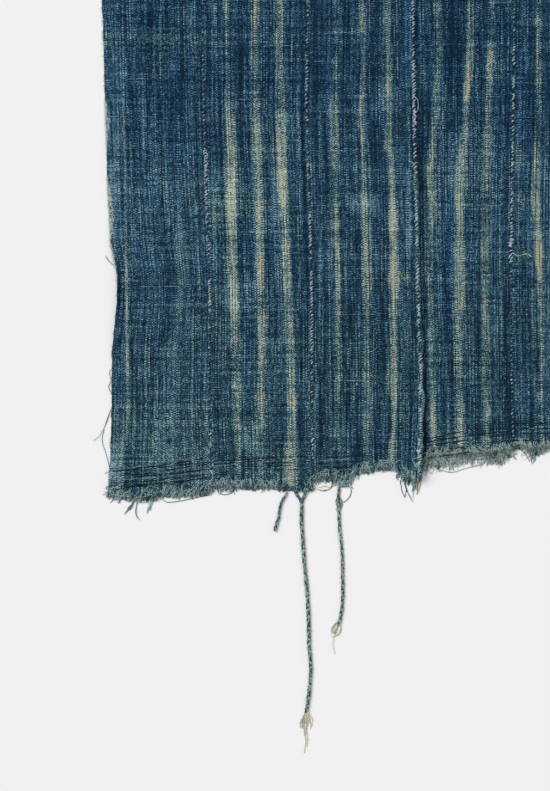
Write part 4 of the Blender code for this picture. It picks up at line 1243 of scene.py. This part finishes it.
def weave_relief(nodes, u, v, weft_over):
    """The bump of the crossing yarns. Gives the shade of the hollows between them."""
    half_warp, round_warp = half_round(nodes, u)
    half_weft, round_weft = half_round(nodes, v)
    warp_height = nodes.times(round_warp, half_weft)
    weft_height = nodes.times(round_weft, half_warp)
    weft_share = nodes.times(weft_over, nodes.minus(weft_height, warp_height))
    height = nodes.plus(warp_height, weft_share)
    nodes.bump(height, WEAVE_BUMP, BUMP_STRENGTH)
    cavity = nodes.ramp(height, 0.0, HOLLOW_TOP, HOLLOW_SHADE, 1.0)
    return nodes.join(cavity, cavity, cavity)


def half_round(nodes, place):
    """A yarn's rounded height across it, once halved and raised and once in full."""
    from_middle = nodes.minus(nodes.math("FRACT", place), 0.5)
    full = nodes.math("COSINE", nodes.times(from_middle, math.pi))
    return nodes.line(full, 0.5, 0.5), full


def streak_chart(strip, letter):
    """Rising heights of a streak's chart with its x, width, paleness and warmth at each, if it has one."""
    rows = STREAKS.get(f"{strip}{letter}")
    if rows is None:
        return None
    chart = named_columns(STREAK_COLUMNS, rows[::-1])
    x, y = from_picture(chart["u"], chart["v"])
    return y, (x, chart["width"] * PIXEL, chart["pale"], chart["warm"])


def plain_streak(strip, letter, x, y):
    """A streak's middle, width, paleness and warmth where no chart has it."""
    seed = 40 + 3 * strip + ord(letter)
    left, right = line_x(strip - 1, y), line_x(strip, y)
    middle = left + (right - left) * PLAIN_STREAKS[letter]
    width = PLAIN_STREAK_WIDTH + 3 * (soft_noise(y, 0.0, 24.0, 1.0, seed) - 0.5)
    pale = np.clip(1.1 * soft_noise(y, 3.0, 21.0, 1.0, seed + 1) + 0.2, 0, 1)
    warm = np.clip(1.6 * soft_noise(y, 5.0, 27.0, 1.0, seed + 2) - 0.5, 0, 1)
    above_hem = y - hem_height(strip, strip_share(strip, x, y))
    return middle, width, pale * ease(above_hem / STREAK_FADE), warm


def streak_at(strip, letter, x, y):
    """Distance from a streak's middle, its half width, how pale and how warm it is."""
    streak = plain_streak(strip, letter, x, y)
    chart = streak_chart(strip, letter)
    if chart is not None:
        rows, columns = chart
        seen = 1 - ease((y - rows[-1]) / STREAK_FADE)
        shown = [np.interp(y, rows, column) for column in columns]
        streak = [a * seen + b * (1 - seen) for a, b in zip(shown, streak)]
    middle, width, pale, warm = streak
    return np.abs(x - middle), width / 2, pale, warm


def nearest_streak(strip, x, y):
    """What streak_at gives, for whichever streak of the strip is nearest."""
    best = [np.full(x.shape, FAR_FROM_STREAK), np.ones(x.shape), np.zeros(x.shape), np.zeros(x.shape)]
    for letter in PLAIN_STREAKS if strip > 1 else "A":
        found = streak_at(strip, letter, x, y)
        nearer = found[0] - found[1] < best[0] - best[1]
        best = [np.where(nearer, new, old) for new, old in zip(found, best)]
    return best


def patch_strength(kind, x, y):
    """How strong the patches of one kind are, with soft and uneven edges."""
    total = np.zeros(x.shape)
    for patch in named_rows(PATCH_COLUMNS, PATCHES[kind]):
        left, top = from_picture(patch["left"], patch["top"])
        right, bottom = from_picture(patch["right"], patch["bottom"])
        fade = min(PATCH_FADE, right - left)
        edge = fade * (soft_noise(x, y, 7.0, 19.0, int(patch["left"])) - 0.5)
        across = np.minimum(x - left, right - x) + edge
        along = np.minimum(y - bottom, top - y) + 2 * edge
        inside = ease(across / fade + 0.5) * ease(along / (2 * PATCH_FADE) + 0.5)
        total = np.maximum(total, inside * patch["strength"])
    return total


def column_shares(strip):
    """The columns of a strip's grid, closer at its edges."""
    inner = COLUMNS_DETAILED if strip <= DETAILED_STRIPS else COLUMNS_PLAIN
    edge = np.array(EDGE_COLUMNS)
    middle = np.linspace(*MIDDLE_COLUMNS, inner)
    return np.concatenate([edge, middle, 1 - edge[::-1]])


def row_heights(strip):
    """The rows of a strip's grid above the hem line, closer where the picture shows them."""
    near = NEAR_ROW if strip <= DETAILED_STRIPS else FAR_ROW
    end = CLOTH_LENGTH + PLAIN_END_STEP * math.sin(PLAIN_END_PHASE * strip)
    low = np.arange(0, NEAR_ROWS_TOP, near)
    high = np.linspace(NEAR_ROWS_TOP, end - 2.0, round((end - NEAR_ROWS_TOP) / FAR_ROW))
    return np.concatenate([HEM_ROWS, low[1:], high, [end - 0.8, end]])


def strip_grid(strip):
    """Shares, x and y of a strip's grid. The hem line is torn a little unevenly."""
    shares, rows = np.meshgrid(column_shares(strip), row_heights(strip))
    pull = np.clip(1 - rows / HEM_BLEND, 0, None)
    hem = hem_height(strip, shares)
    torn = TORN_DEPTH * (soft_noise(shares * STRIP_WIDTH, 0.0, 2.4, 1.0, 70 + strip) - 0.5)
    y = rows + hem * pull + torn * np.clip(1 - rows / TORN_REACH, 0, None)
    x = strip_x(strip, shares, y)
    if strip == 1:
        worn = WORN_DEPTH * (soft_noise(y, 0.0, 6.0, 1.0, 8) - 0.5)
        x = x + worn * np.clip(1 - shares / WORN_SHARE, 0, None)
    return shares, x, y


def closed_faces(rows, columns):
    """The faces of a closed sheet: its lower grid of points, its upper one, and the rim."""
    count = rows * columns
    index = np.arange(count).reshape(rows, columns)
    a, b, c, d = index[:-1, :-1], index[:-1, 1:], index[1:, 1:], index[1:, :-1]
    faces = np.stack([d, c, b, a], axis=-1).reshape(-1, 4).tolist()
    faces += (np.stack([a, b, c, d], axis=-1).reshape(-1, 4) + count).tolist()
    rim = np.concatenate([index[0], index[1:, -1], index[-1, -2::-1], index[-2:0:-1, 0]]).tolist()
    for first, second in zip(rim, rim[1:] + rim[:1]):
        faces.append((first, second, second + count, first + count))
    return faces


def add_strip(strip, material):
    """One woven strip as a thin closed sheet on the solid's folds."""
    shares, x, y = strip_grid(strip)
    low = underside(strip, shares, y)
    edge = np.minimum(shares, 1 - shares) * STRIP_WIDTH
    top = low + CLOTH_THICKNESS - EDGE_ROUNDING * (1 - ease(edge / EDGE_ROUNDING_WIDTH))
    points = np.concatenate([np.stack([x, y, z], axis=-1).reshape(-1, 3) for z in (low, top)])
    obj = new_object(f"cloth_{strip:02d}", points, closed_faces(*x.shape), material)
    for name, parts in dye_parts(strip, shares, x, y, edge).items():
        set_attribute(obj, name, *(np.tile(part.ravel(), 2) for part in parts))
    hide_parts(f"strip_{strip:02d}")
    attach(obj, "root")
    return obj


def dye_parts(strip, shares, x, y, edge):
    """What the weave's material has to know at each point of a strip."""
    distance, half, pale, warm = nearest_streak(strip, x, y)
    trend = named_columns(TREND_COLUMNS, TREND)
    down = ZERO_V - y / PIXEL
    light = np.interp(down, trend["v"], trend["light"])
    cool = np.interp(down, trend["v"], trend["cool"])
    # The dark patches hold dye and, in a few places, painted shade beside the rib and in the curled edge's
    # groove.
    dark = patch_strength("dark", x, y) - patch_strength("pale", x, y)
    dark = dark + STRIP_DARKNESS.get(strip, PLAIN_DARKNESS) - LIGHT_GAIN * light
    blue = BLUE_GAIN * patch_strength("blue", x, y) + cool
    grey = patch_strength("grey", x, y)
    return {
        "weave": (shares * STRIP_WIDTH, y, np.full(x.shape, float(strip))),
        "streak": (distance, half, pale),
        "tint": (warm, blue, grey),
        "tone": (dark, edge, y - hem_height(strip, shares)),
    }


def add_dotted_ends():
    """Single pale warp ends, which show wherever they pass over a weft yarn."""
    chance = random.Random(91)
    bundle = Bundle()
    for row in named_rows(DOTTED_COLUMNS, DOTTED):
        x, high = from_picture(row["u"], row["top"])
        (low,) = heights(row["bottom"])
        for y in np.arange(low, high, 2 * WEFT_PITCH):
            if chance.random() > 0.3 + 0.6 * row["strength"]:
                continue
            half = chance.uniform(*DOT_HALF)
            xs = x + 0.5 * np.sin(y / 23.0) + np.zeros(3)
            ys = y + np.array([-half, 0.0, half])
            z = top_height(xs, ys) + np.array([-0.2, 0.2, -0.2])
            radius = chance.uniform(*DOT_RADIUS) * (0.75 + 0.3 * row["strength"])
            tone = 0.5 + 0.5 * row["strength"] + chance.uniform(-0.25, 0.25)
            bundle.add(np.column_stack([xs, ys, z]), radius, 4, tone=tone, taper=0.5)
    return bundle.build("dotted_ends", yarn_material("sewing_thread"))


def waver(route, swing, wave, place, chance):
    """Lets a weft yarn waver along its route, and gives how thick it is at each point, 0 to 1."""
    along = np.arange(len(route), dtype=float)
    route[:, 1] += swing * (soft_noise(along, 1.0, wave, 1.0, chance.randrange(999)) - 0.5)
    return soft_noise(along, place, 4.0, 1.0, chance.randrange(999))


def add_slubs(name, routes, depth):
    """Thick pale places of the weft, which dive under the warp for about the given share of their way."""
    chance = random.Random(92)
    bundle = Bundle()
    for stops in routes:
        route = lay_on_cloth(stops, 0.75, 0.0)
        strength = waver(route, 0.35, 6.0, 2.0, chance)
        over = np.cos(math.pi * route[:, 0] / WARP_PITCH)
        route[:, 2] += 0.25 * over + 0.7 * (strength - chance.uniform(depth - 0.12, depth + 0.12))
        thin, more = SLUB_RADIUS
        bundle.add(route, thin + more * strength, 4, tone=chance.uniform(0.1, 0.7))
    return bundle.build(name, yarn_material("slub_yarn"))


def add_weft_gap_shade():
    """Thick dark tubes that paint the shade in the gaps between the pulled weft yarns above the torn hem.
    """
    chance = random.Random(93)
    bundle = Bundle()
    for stops in WEFT_GAP_SHADE:
        route = lay_on_cloth(stops, 1.4, 0.1)
        strength = waver(route, 0.5, 7.0, 4.0, chance)
        route[:, 2] += 0.9 * (strength - 0.5)
        thin, more = WEFT_GAP_SHADE_RADIUS
        bundle.add(route, thin + more * strength, 4, tone=0.4)
    return bundle.build("weft_gap_shade", yarn_material("navy_shade_yarn"))


def stitch_sections(line):
    """The sections of a seam from the hem up, each with its heights on the sheet."""
    sections = []
    for row in reversed(named_rows(STITCH_COLUMNS, STITCHES.get(line, ()))):
        sections.append((*heights(row["bottom"], row["top"]), row))
    start = sections[-1][1] if sections else PLAIN_STITCH_START
    sections.append((start, CLOTH_LENGTH - 2.0, PLAIN_STITCH))
    return sections


def add_stitches(line):
    """The overcast stitches that join two strips, slanting up to the right."""
    chance = random.Random(500 + line)
    bundle = Bundle()
    for low, high, row in stitch_sections(line):
        y = max(low, seam_hem(line) - 2.0)
        while y < high:
            uneven = row["uneven"]
            if chance.random() > STITCH_MISSING * (1 + uneven):
                add_stitch(bundle, line, y, row, 1, chance)
            if chance.random() < STITCH_CROSSED * (0.5 + uneven):
                add_stitch(bundle, line, y + 0.5 * row["pitch"], row, -1, chance)
            y += row["pitch"] * chance.uniform(0.85 - 0.4 * uneven, 1.15 + 0.4 * uneven)
    return bundle.build(f"seam_{line:02d}_stitches", yarn_material("sewing_thread"))


def add_stitch(bundle, line, y, row, lean, chance):
    """One stitch across a seam. The ones that cross back lie lower and show less."""
    uneven = row["uneven"]
    length = row["length"] * chance.uniform(1 - 0.4 * uneven, 1 + 0.4 * uneven)
    slope = lean * (STITCH_SLOPE + chance.uniform(*STITCH_TURN) * uneven)
    reach = 0.5 * length / math.hypot(1, slope)
    middle = float(line_x(line, y)) + chance.uniform(*STITCH_STRAY) * (0.3 + uneven)
    along = np.linspace(-1, 1, 6)
    arch = 1 - along**2
    xs = middle + reach * along
    ys = y + slope * reach * along + 0.15 * length * arch
    z = top_height(xs, ys) - STITCH_SINK + (STITCH_ARCH if lean > 0 else CROSSED_ARCH) * arch
    low, high = heights(RIB_BOTTOM, RIB_TOP)
    if line == RIB_SEAM and low <= y <= high:
        z += RIB_STITCH_ARCH * arch - RIB_STITCH_SINK
    tone = row["tone"] - (0.0 if lean > 0 else CROSSED_DARKER) + chance.uniform(*STITCH_TONES)
    radius = STITCH_RADIUS * chance.uniform(*STITCH_SWELL) * (0.75 + 0.4 * arch)
    bundle.add(np.column_stack([xs, ys, z]), radius, 4, tone=tone, taper=0.6)


def add_seam_shade_bed(line):
    """The two selvedges pressed together at the bottom of a seam, as a dark yarn that also paints the shade
    of the seam's groove.
    """
    y = np.arange(seam_hem(line) - 1.0, CLOTH_LENGTH - 1.0, 5.0)
    x = line_x(line, y)
    z = top_height(x - 0.3, y) - BED_SINK
    bundle = Bundle()
    bundle.add(np.column_stack([x, y, z]), BED_RADIUS, 6, tone=0.9, flat=BED_FLAT)
    return bundle.build(f"seam_{line:02d}_bed", yarn_material("navy_shade_yarn"))


def add_tangles():
    """Loops of sewing thread that stand off the seams."""
    bundle = Bundle()
    for stops in TANGLES:
        bundle.add(lay_on_cloth(stops, 0.9, TANGLE_LIFT), TANGLE_RADIUS, 5, tone=0.7)
    return bundle.build("seam_tangles", yarn_material("sewing_thread"))


def rib_route():
    """The middle line of the roll beside the third seam, and its radius, which swells and thins."""
    low, high = heights(RIB_BOTTOM, RIB_TOP)
    y = np.arange(low, high, 1.6)
    ends = ease((y - low) / RIB_END) * ease((high - y) / RIB_END)
    swell = 0.5 + 0.5 * soft_noise(y, 0.0, 12.0, 1.0, 61) + 0.55 * soft_noise(y, 0.0, 4.5, 1.0, 64)
    radius = RIB_RADIUS * swell * (0.35 + 0.65 * ends)
    x = line_x(RIB_SEAM, y) + 0.5 + 1.6 * (soft_noise(y, 0.0, 15.0, 1.0, 62) - 0.5)
    z = top_height(x, y) - 0.7 + 0.3 * radius
    return np.column_stack([x, y, z]), radius


def add_rib(material):
    """The rolled selvedges that stand beside the third seam, wrapped in the same cloth."""
    route, radius = rib_route()
    # A dark yarn along the rib's right foot paints the shadow in the crevice there.
    crevice = route.copy()
    crevice[:, 0] += radius * CREVICE_SIDE
    crevice[:, 2] -= CREVICE_SINK
    shadow = Bundle()
    shadow.add(crevice, CREVICE_RADIUS, 5, tone=0.3, flat=CREVICE_FLAT)
    shadow.build("seam_03_crevice_shadow", yarn_material("navy_shade_yarn"))
    bundle = Bundle()
    bundle.add(route, radius, RIB_SIDES, flat=RIB_FLAT, taper=0.5)
    around, along, _ = np.transpose(bundle.yarn)
    points = np.array(bundle.points)
    wrinkle = soft_noise(around * 9.0, along, 1.0, 4.0, 63) - 0.5
    points[:, 0] += RIB_WRINKLE * wrinkle
    points[:, 2] += RIB_WRINKLE * wrinkle
    bundle.points = points.tolist()
    obj = bundle.build("seam_03_rib", material)
    zeros = np.zeros(len(points))
    turned = np.abs(around - 0.5) * 2 * math.pi * RIB_RADIUS
    set_attribute(obj, "weave", turned, along, zeros + RIB_SEAM + 0.5)
    set_attribute(obj, "streak", zeros + FAR_FROM_STREAK, zeros + 1, zeros)
    set_attribute(obj, "tint", zeros, zeros, zeros + RIB_GREY)
    set_attribute(obj, "tone", zeros, zeros, zeros)
    return obj


def cord_middle(cord, radius_up):
    """The middle line of a cord, which comes down from the hem on to the floor."""
    route = curve_through(cord["route"], CORD_STEP)
    share = ease(np.arange(len(route)) * CORD_STEP / CORD_ROOT_LENGTH)
    z = cord["root_z"] + (radius_up - cord["root_z"]) * share
    return np.column_stack([route, z])


def add_cord(name):
    """A three-strand plait, or a two-ply twist, of soft yarn bundles."""
    cord = CORDS[name]
    lay = dict(zip(LAY_COLUMNS, LAYS[cord["lay"]]))
    width = cord["width"]
    middle = cord_middle(cord, width * (lay["strand"] + lay["lift"]))
    side = beside(middle)
    along = np.arange(len(middle)) * CORD_STEP
    size = CORD_ROOT_SHARE + (1 - CORD_ROOT_SHARE) * ease(along / CORD_ROOT_LENGTH)
    swell = soft_noise(along, 0.0, CORD_SWELL_LENGTH, 1.0, len(name))
    size = size * (CORD_THIN + CORD_SWELL * swell)
    opened = 1 + lay["opened"] * ease((along - along[-1] * OPEN_FROM) / OPEN_LENGTH)
    bundle = Bundle()
    for k in range(lay["strands"]):
        phase = 2 * math.pi * (along / lay["turn"] + k / lay["strands"])
        up = np.sin(2 * phase) if cord["lay"] == "plait" else np.cos(phase)
        route = middle + side * (np.sin(phase) * lay["swing"] * width * size * opened)[:, None]
        route[:, 2] += up * lay["lift"] * width * size
        radius = width * lay["strand"] * size * (1 + 0.1 * np.cos(2 * phase))
        tone = STRAND_TONE + STRAND_TONE_STEP * k
        bundle.add(route, radius, CORD_SIDES, tone=tone, taper=CORD_TAPER)
    obj = bundle.build(name + "_yarn", yarn_material(cord["lay"] + "_yarn"))
    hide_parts(name)
    return obj, middle


def add_cord_fuzz(name, middle):
    """Stray fibres of a cord."""
    chance = random.Random(5 * len(name))
    bundle = Bundle()
    width = CORDS[name]["width"]
    side = beside(middle)
    for _ in range(round(len(middle) * CORD_HAIRS)):
        i = chance.randrange(3, len(middle) - 3)
        lean = chance.choice((-1, 1))
        start = middle[i] + side[i] * (lean * width * CORD_HAIR_ROOT)
        reach = chance.uniform(*CORD_HAIR_REACH)
        tip = start + side[i] * (lean * reach) + (0, chance.uniform(-2.2, 0.8), -0.4)
        bent = (start + tip) / 2 + (0, chance.uniform(-0.6, 0.6), 0.2)
        route = curve_through([start, bent, tip], 0.7)
        bundle.add(route, CORD_HAIR_RADIUS, 3, tone=chance.uniform(0.3, 1.0))
    return bundle.build(name + "_fuzz", yarn_material("faded_yarn"))


def add_tuft(name):
    """The cut ends of a plait, combed apart and lying on the floor."""
    chance = random.Random(len(name))
    bundle = Bundle()
    for count, stops in TUFTS[name]:
        lock = count > 2
        stops = on_sheet(stops)
        for _ in range(count):
            route = wavy_route(stops, 1.2, 0.7 if lock else 0.35, chance)
            along = np.linspace(0, 1, len(route))
            route[:, 0] += chance.uniform(*TUFT_SPREAD) * along * lock
            length = max(4, round(len(route) * (chance.uniform(*TUFT_KEPT) if lock else 1.0)))
            low = FLOOR_CLEAR + chance.uniform(0, 1.2) * (1 - 0.5 * along)
            high = CORDS[name]["width"] * 0.36
            z = low + (high - low) * (1 - ease(along * 2.5))
            laid = np.column_stack([route, z])[:length]
            bundle.add(laid, chance.uniform(*TUFT_RADIUS), 4, tone=chance.uniform(0.1, 1.0))
    tuft = name.replace("plait", "tuft")
    obj = bundle.build(tuft + "_yarns", yarn_material("undyed_yarn"))
    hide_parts(tuft)
    return obj


def add_lock(bundle, lock, single_tone, chance):
    """A thin lock: yarns that spread in the middle of a route and gather at its end."""
    stops = on_sheet(lock["route"])
    single = lock["yarns"] < 3
    for _ in range(lock["yarns"]):
        offset = chance.uniform(-1, 1) * lock["spread"]
        route = wavy_route(stops, 1.1, 0.25 + 0.25 * lock["spread"], chance)
        along = np.linspace(0, 1, len(route))
        route[:, 0] += offset * (0.35 + 0.65 * np.sin(math.pi * along ** 0.8))
        keep = len(route) if single else max(3, round(len(route) * chance.uniform(0.6, 1.0)))
        laid = lay_loose(route[:keep], chance.uniform(0, 0.6))
        tone = single_tone if single else chance.uniform(0.2, 0.9)
        bundle.add(laid, lock["radius"] * chance.uniform(0.8, 1.4), 4, tone=tone)


def add_loose_threads(name, rows, tone, yarn):
    """Locks, loops and single threads that stand out of the hem and the left edge."""
    chance = random.Random(77)
    bundle = Bundle()
    for lock in named_rows(LOOSE_COLUMNS, rows):
        add_lock(bundle, lock, tone, chance)
    return bundle.build(name, yarn_material(yarn))


def fray_edge(strip, x):
    """How low the loose yarns of a strip's torn end reach, and how pale they are."""
    if strip not in FRAY_EDGE:
        drop = FRAY_PLAIN_DROP * (0.6 + 0.8 * float(soft_noise(x, 0, 6.0, 1.0, 30)))
        return float(hem_height(strip, 0.5)) - drop, FRAY_PLAIN_PALE
    edge = named_columns(FRAY_COLUMNS, FRAY_EDGE[strip])
    xs, ys = from_picture(edge["u"], edge["v"])
    return float(np.interp(x, xs, ys)), float(np.interp(x, xs, edge["pale"]))


def curly_route(x, y, drop, lean, chance):
    """A yarn that falls in small curls for about the given drop."""
    heading = -math.pi / 2 - lean + chance.uniform(-0.5, 0.5)
    home = -math.pi / 2 - lean
    bend, route = 0.0, [(x, y)]
    for i in range(max(3, round(drop * 1.25 / FRAY_STEP))):
        if i % 2 == 0:
            bend = chance.uniform(-FRAY_CURL, FRAY_CURL)
        heading += bend * FRAY_STEP + FRAY_HOMING * (home - heading)
        x += FRAY_STEP * math.cos(heading)
        y += FRAY_STEP * math.sin(heading)
        route.append((x, y))
    return np.array(route)


def add_gauze(bundle, strip, chance):
    """The loose yarns of a strip's torn end. Some still hold their dye, mostly the lower ones, and these
    darker yarns also paint the shade under the fringe.
    """
    count = FRAY_YARNS if strip <= DETAILED_STRIPS else FRAY_PLAIN_YARNS
    for _ in range(round(count * FRAY_SPARSE.get(strip, 1.0))):
        share = chance.uniform(*FRAY_SHARES)
        hem = float(hem_height(strip, share))
        x = float(strip_x(strip, share, hem))
        lean = FRAY_LEAN.get(strip, 0.0) * float(ease((FRAY_LEAN_TO - x / PIXEL - ZERO_U) / 10 + 0.5))
        edge, pale = fray_edge(strip, x - lean * 6)
        dark = chance.random() > FRAY_PALE_LEAST + FRAY_PALE_MORE * pale
        start = hem + FRAY_ROOT * chance.random() ** 1.8 * (0.5 if dark else 1.0)
        clump = float(soft_noise(x, 0.0, 4.5, 1.0, 31))
        drop = (start - edge) * (0.55 + 0.6 * clump * chance.uniform(0.6, 1.0))
        route = curly_route(x + lean * 3, start, drop, lean, chance)
        laid = lay_loose(route, chance.uniform(0, 0.6) if dark else chance.uniform(0.1, 0.7))
        tone = chance.uniform(*(FRAY_DARK_TONE if dark else FRAY_PALE_TONE))
        tone += FRAY_TONE_GAIN * (float(soft_noise(x, start, 3.0, 2.5, 33)) - FRAY_TONE_MIDDLE)
        bundle.add(laid, chance.uniform(*FRAY_RADIUS), 3, tone=tone)


def add_legs(bundle, chance):
    """The two bundles of warp ends that meet at the top of the long plait."""
    for side in (-1, 1):
        stops = [(x + side * spread, y) for x, spread, y in LEGS]
        for _ in range(LEG_YARNS):
            offset = chance.uniform(-1, 1)
            route = curve_through(stops, 1.0)
            along = np.linspace(0, 1, len(route))
            route[:, 0] += offset * LEG_SPREAD * (1 - 0.4 * along)
            lift = (0.9 + 0.7 * math.sqrt(1 - offset * offset)) * (0.4 + 0.6 * along)
            bundle.add(lay_loose(route, lift), LEG_RADIUS, 5, tone=chance.uniform(0.1, 0.7))


def add_fray(strip):
    """One strip's torn end."""
    chance = random.Random(300 + strip)
    bundle = Bundle()
    add_gauze(bundle, strip, chance)
    if strip == 2:
        add_legs(bundle, chance)
    yarn = "torn_yarn" if strip in DARK_TORN_STRIPS else "torn_pale_yarn"
    obj = bundle.build(f"torn_end_{strip:02d}", yarn_material(yarn))
    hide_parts(f"fray_{strip:02d}")
    return obj


def add_edge_hair(bundle, y, depth, reach, chance):
    """One hair that leaves the cloth at some depth from its left edge."""
    x = float(line_x(0, y)) + depth
    rise = chance.uniform(*HAIR_RISE)
    z = float(top_height(np.float64(x + 0.3), np.float64(y))) + (-0.5 if depth < 1 else 0.4)
    stops = [(x, y, z), (x - reach * 0.6, y + rise * 0.4, z + 0.1), (x - reach, y + rise, z - 0.1)]
    radius = chance.uniform(*HAIR_RADIUS)
    bundle.add(curve_through(stops, 0.8), radius, 3, tone=chance.uniform(0.4, 1.0))


def add_edge_fuzz():
    """Short hairs and worn yarn ends along the left selvedge, thick and pale where it is worn."""
    chance = random.Random(78)
    bundle = Bundle()
    for _ in range(LEFT_HAIRS):
        y = chance.uniform(*LEFT_HAIRS_SPAN)
        add_edge_hair(bundle, y, 0.6, chance.uniform(*LEFT_HAIR_REACH), chance)
    bundle.build("selvedge_fuzz", yarn_material("faded_yarn"))
    worn = Bundle()
    for row in named_rows(WORN_COLUMNS, WORN):
        low, high = heights(row["bottom"], row["top"])
        for _ in range(row["hairs"]):
            y = chance.uniform(low, high)
            width = row["width"] * math.sin(math.pi * (y - low) / (high - low)) ** 0.5
            depth = width * chance.random() ** 1.5
            depth *= 0.5 + float(soft_noise(y, 0.0, 4.0, 1.0, 79))
            add_edge_hair(worn, y, depth, chance.uniform(*WORN_HAIR_REACH), chance)
    return worn.build("selvedge_worn", yarn_material("worn_yarn"))


def add_floor():
    """A plain pale floor."""
    nodes = Nodes("pale_floor")
    nodes.finish((0.9, 0.9, 0.9, 1.0), 1.0, 0.0, (1, 1, 1))
    mesh = bpy.data.meshes.new("floor")
    corners = [(x * FLOOR_REACH, y * FLOOR_REACH, 0) for x, y in ((-1, -1), (1, -1), (1, 1), (-1, 1))]
    mesh.from_pydata(corners, [], [(0, 1, 2, 3)])
    mesh.materials.append(nodes.material)
    link(bpy.data.objects.new("floor", mesh))


def add_light():
    """Even soft light, with a broad sun from the upper left that leaves soft shadows."""
    world = bpy.data.worlds.new("studio")
    world.use_nodes = True
    background = world.node_tree.nodes["Background"]
    background.inputs["Color"].default_value = (1.0, 1.0, 1.0, 1.0)
    background.inputs["Strength"].default_value = SKY_STRENGTH
    bpy.context.scene.world = world
    sun = bpy.data.lights.new("soft_sun", "SUN")
    sun.energy = SUN_STRENGTH
    sun.angle = math.radians(SUN_WIDTH)
    obj = link(bpy.data.objects.new("soft_sun", sun))
    obj.rotation_euler = [math.radians(turn) for turn in SUN_TURN]
    bpy.context.scene.view_settings.view_transform = "Standard"


def add_camera():
    """Looks straight down, with the picture's frame on the floor."""
    data = bpy.data.cameras.new("picture_camera")
    data.sensor_fit = "AUTO"
    data.sensor_width = SENSOR_WIDTH
    data.lens = SENSOR_WIDTH * CAMERA_HEIGHT / (PICTURE_HEIGHT * PIXEL)
    camera = link(bpy.data.objects.new("picture_camera", data))
    x, y = from_picture(PICTURE_WIDTH / 2, PICTURE_HEIGHT / 2)
    camera.location = to_world((x, y, CAMERA_HEIGHT))
    bpy.context.scene.camera = camera


def add_ties():
    """The plaits and the twist, each with its stray fibres, and the plaits with their cut ends."""
    cords = {name: add_cord(name) for name in CORDS}
    for name, (obj, middle) in cords.items():
        pieces = [add_cord_fuzz(name, middle)]
        if name in TUFTS:
            pieces.append(add_tuft(name))


def add_seams():
    """What joins the strips, and what stands beside the third seam."""
    for line in range(1, STRIP_COUNT):
        add_seam_shade_bed(line)
        add_stitches(line)
    add_tangles()
    add_rib(weave_material())


def add_single_yarns():
    """The yarns that stand out of the cloth, the hem and the left edge."""
    add_dotted_ends()
    slubs = [((left, v + SLUB_RISE), (right, v - SLUB_RISE)) for v, left, right in SLUBS]
    add_slubs("weft_slubs", slubs, SLUB_DEPTH)
    add_slubs("hem_slubs", PALE_WEFTS, HEM_SLUB_DEPTH)
    add_weft_gap_shade()
    add_loose_threads("loose_threads", LOOSE, 0.0, "torn_yarn")
    add_loose_threads("hem_loops", PALE_LOOSE, 0.6, "loop_yarn")
    add_edge_fuzz()


def main():
    """Dresses the throw, from the ties to the cloth, and sets up the view."""
    add_ties()
    for strip in range(1, STRIP_COUNT + 1):
        add_fray(strip)
    add_seams()
    add_single_yarns()
    for strip in range(1, STRIP_COUNT + 1):
        sheet = add_strip(strip, weave_material())
    add_floor()
    add_light()
    add_camera()


main()
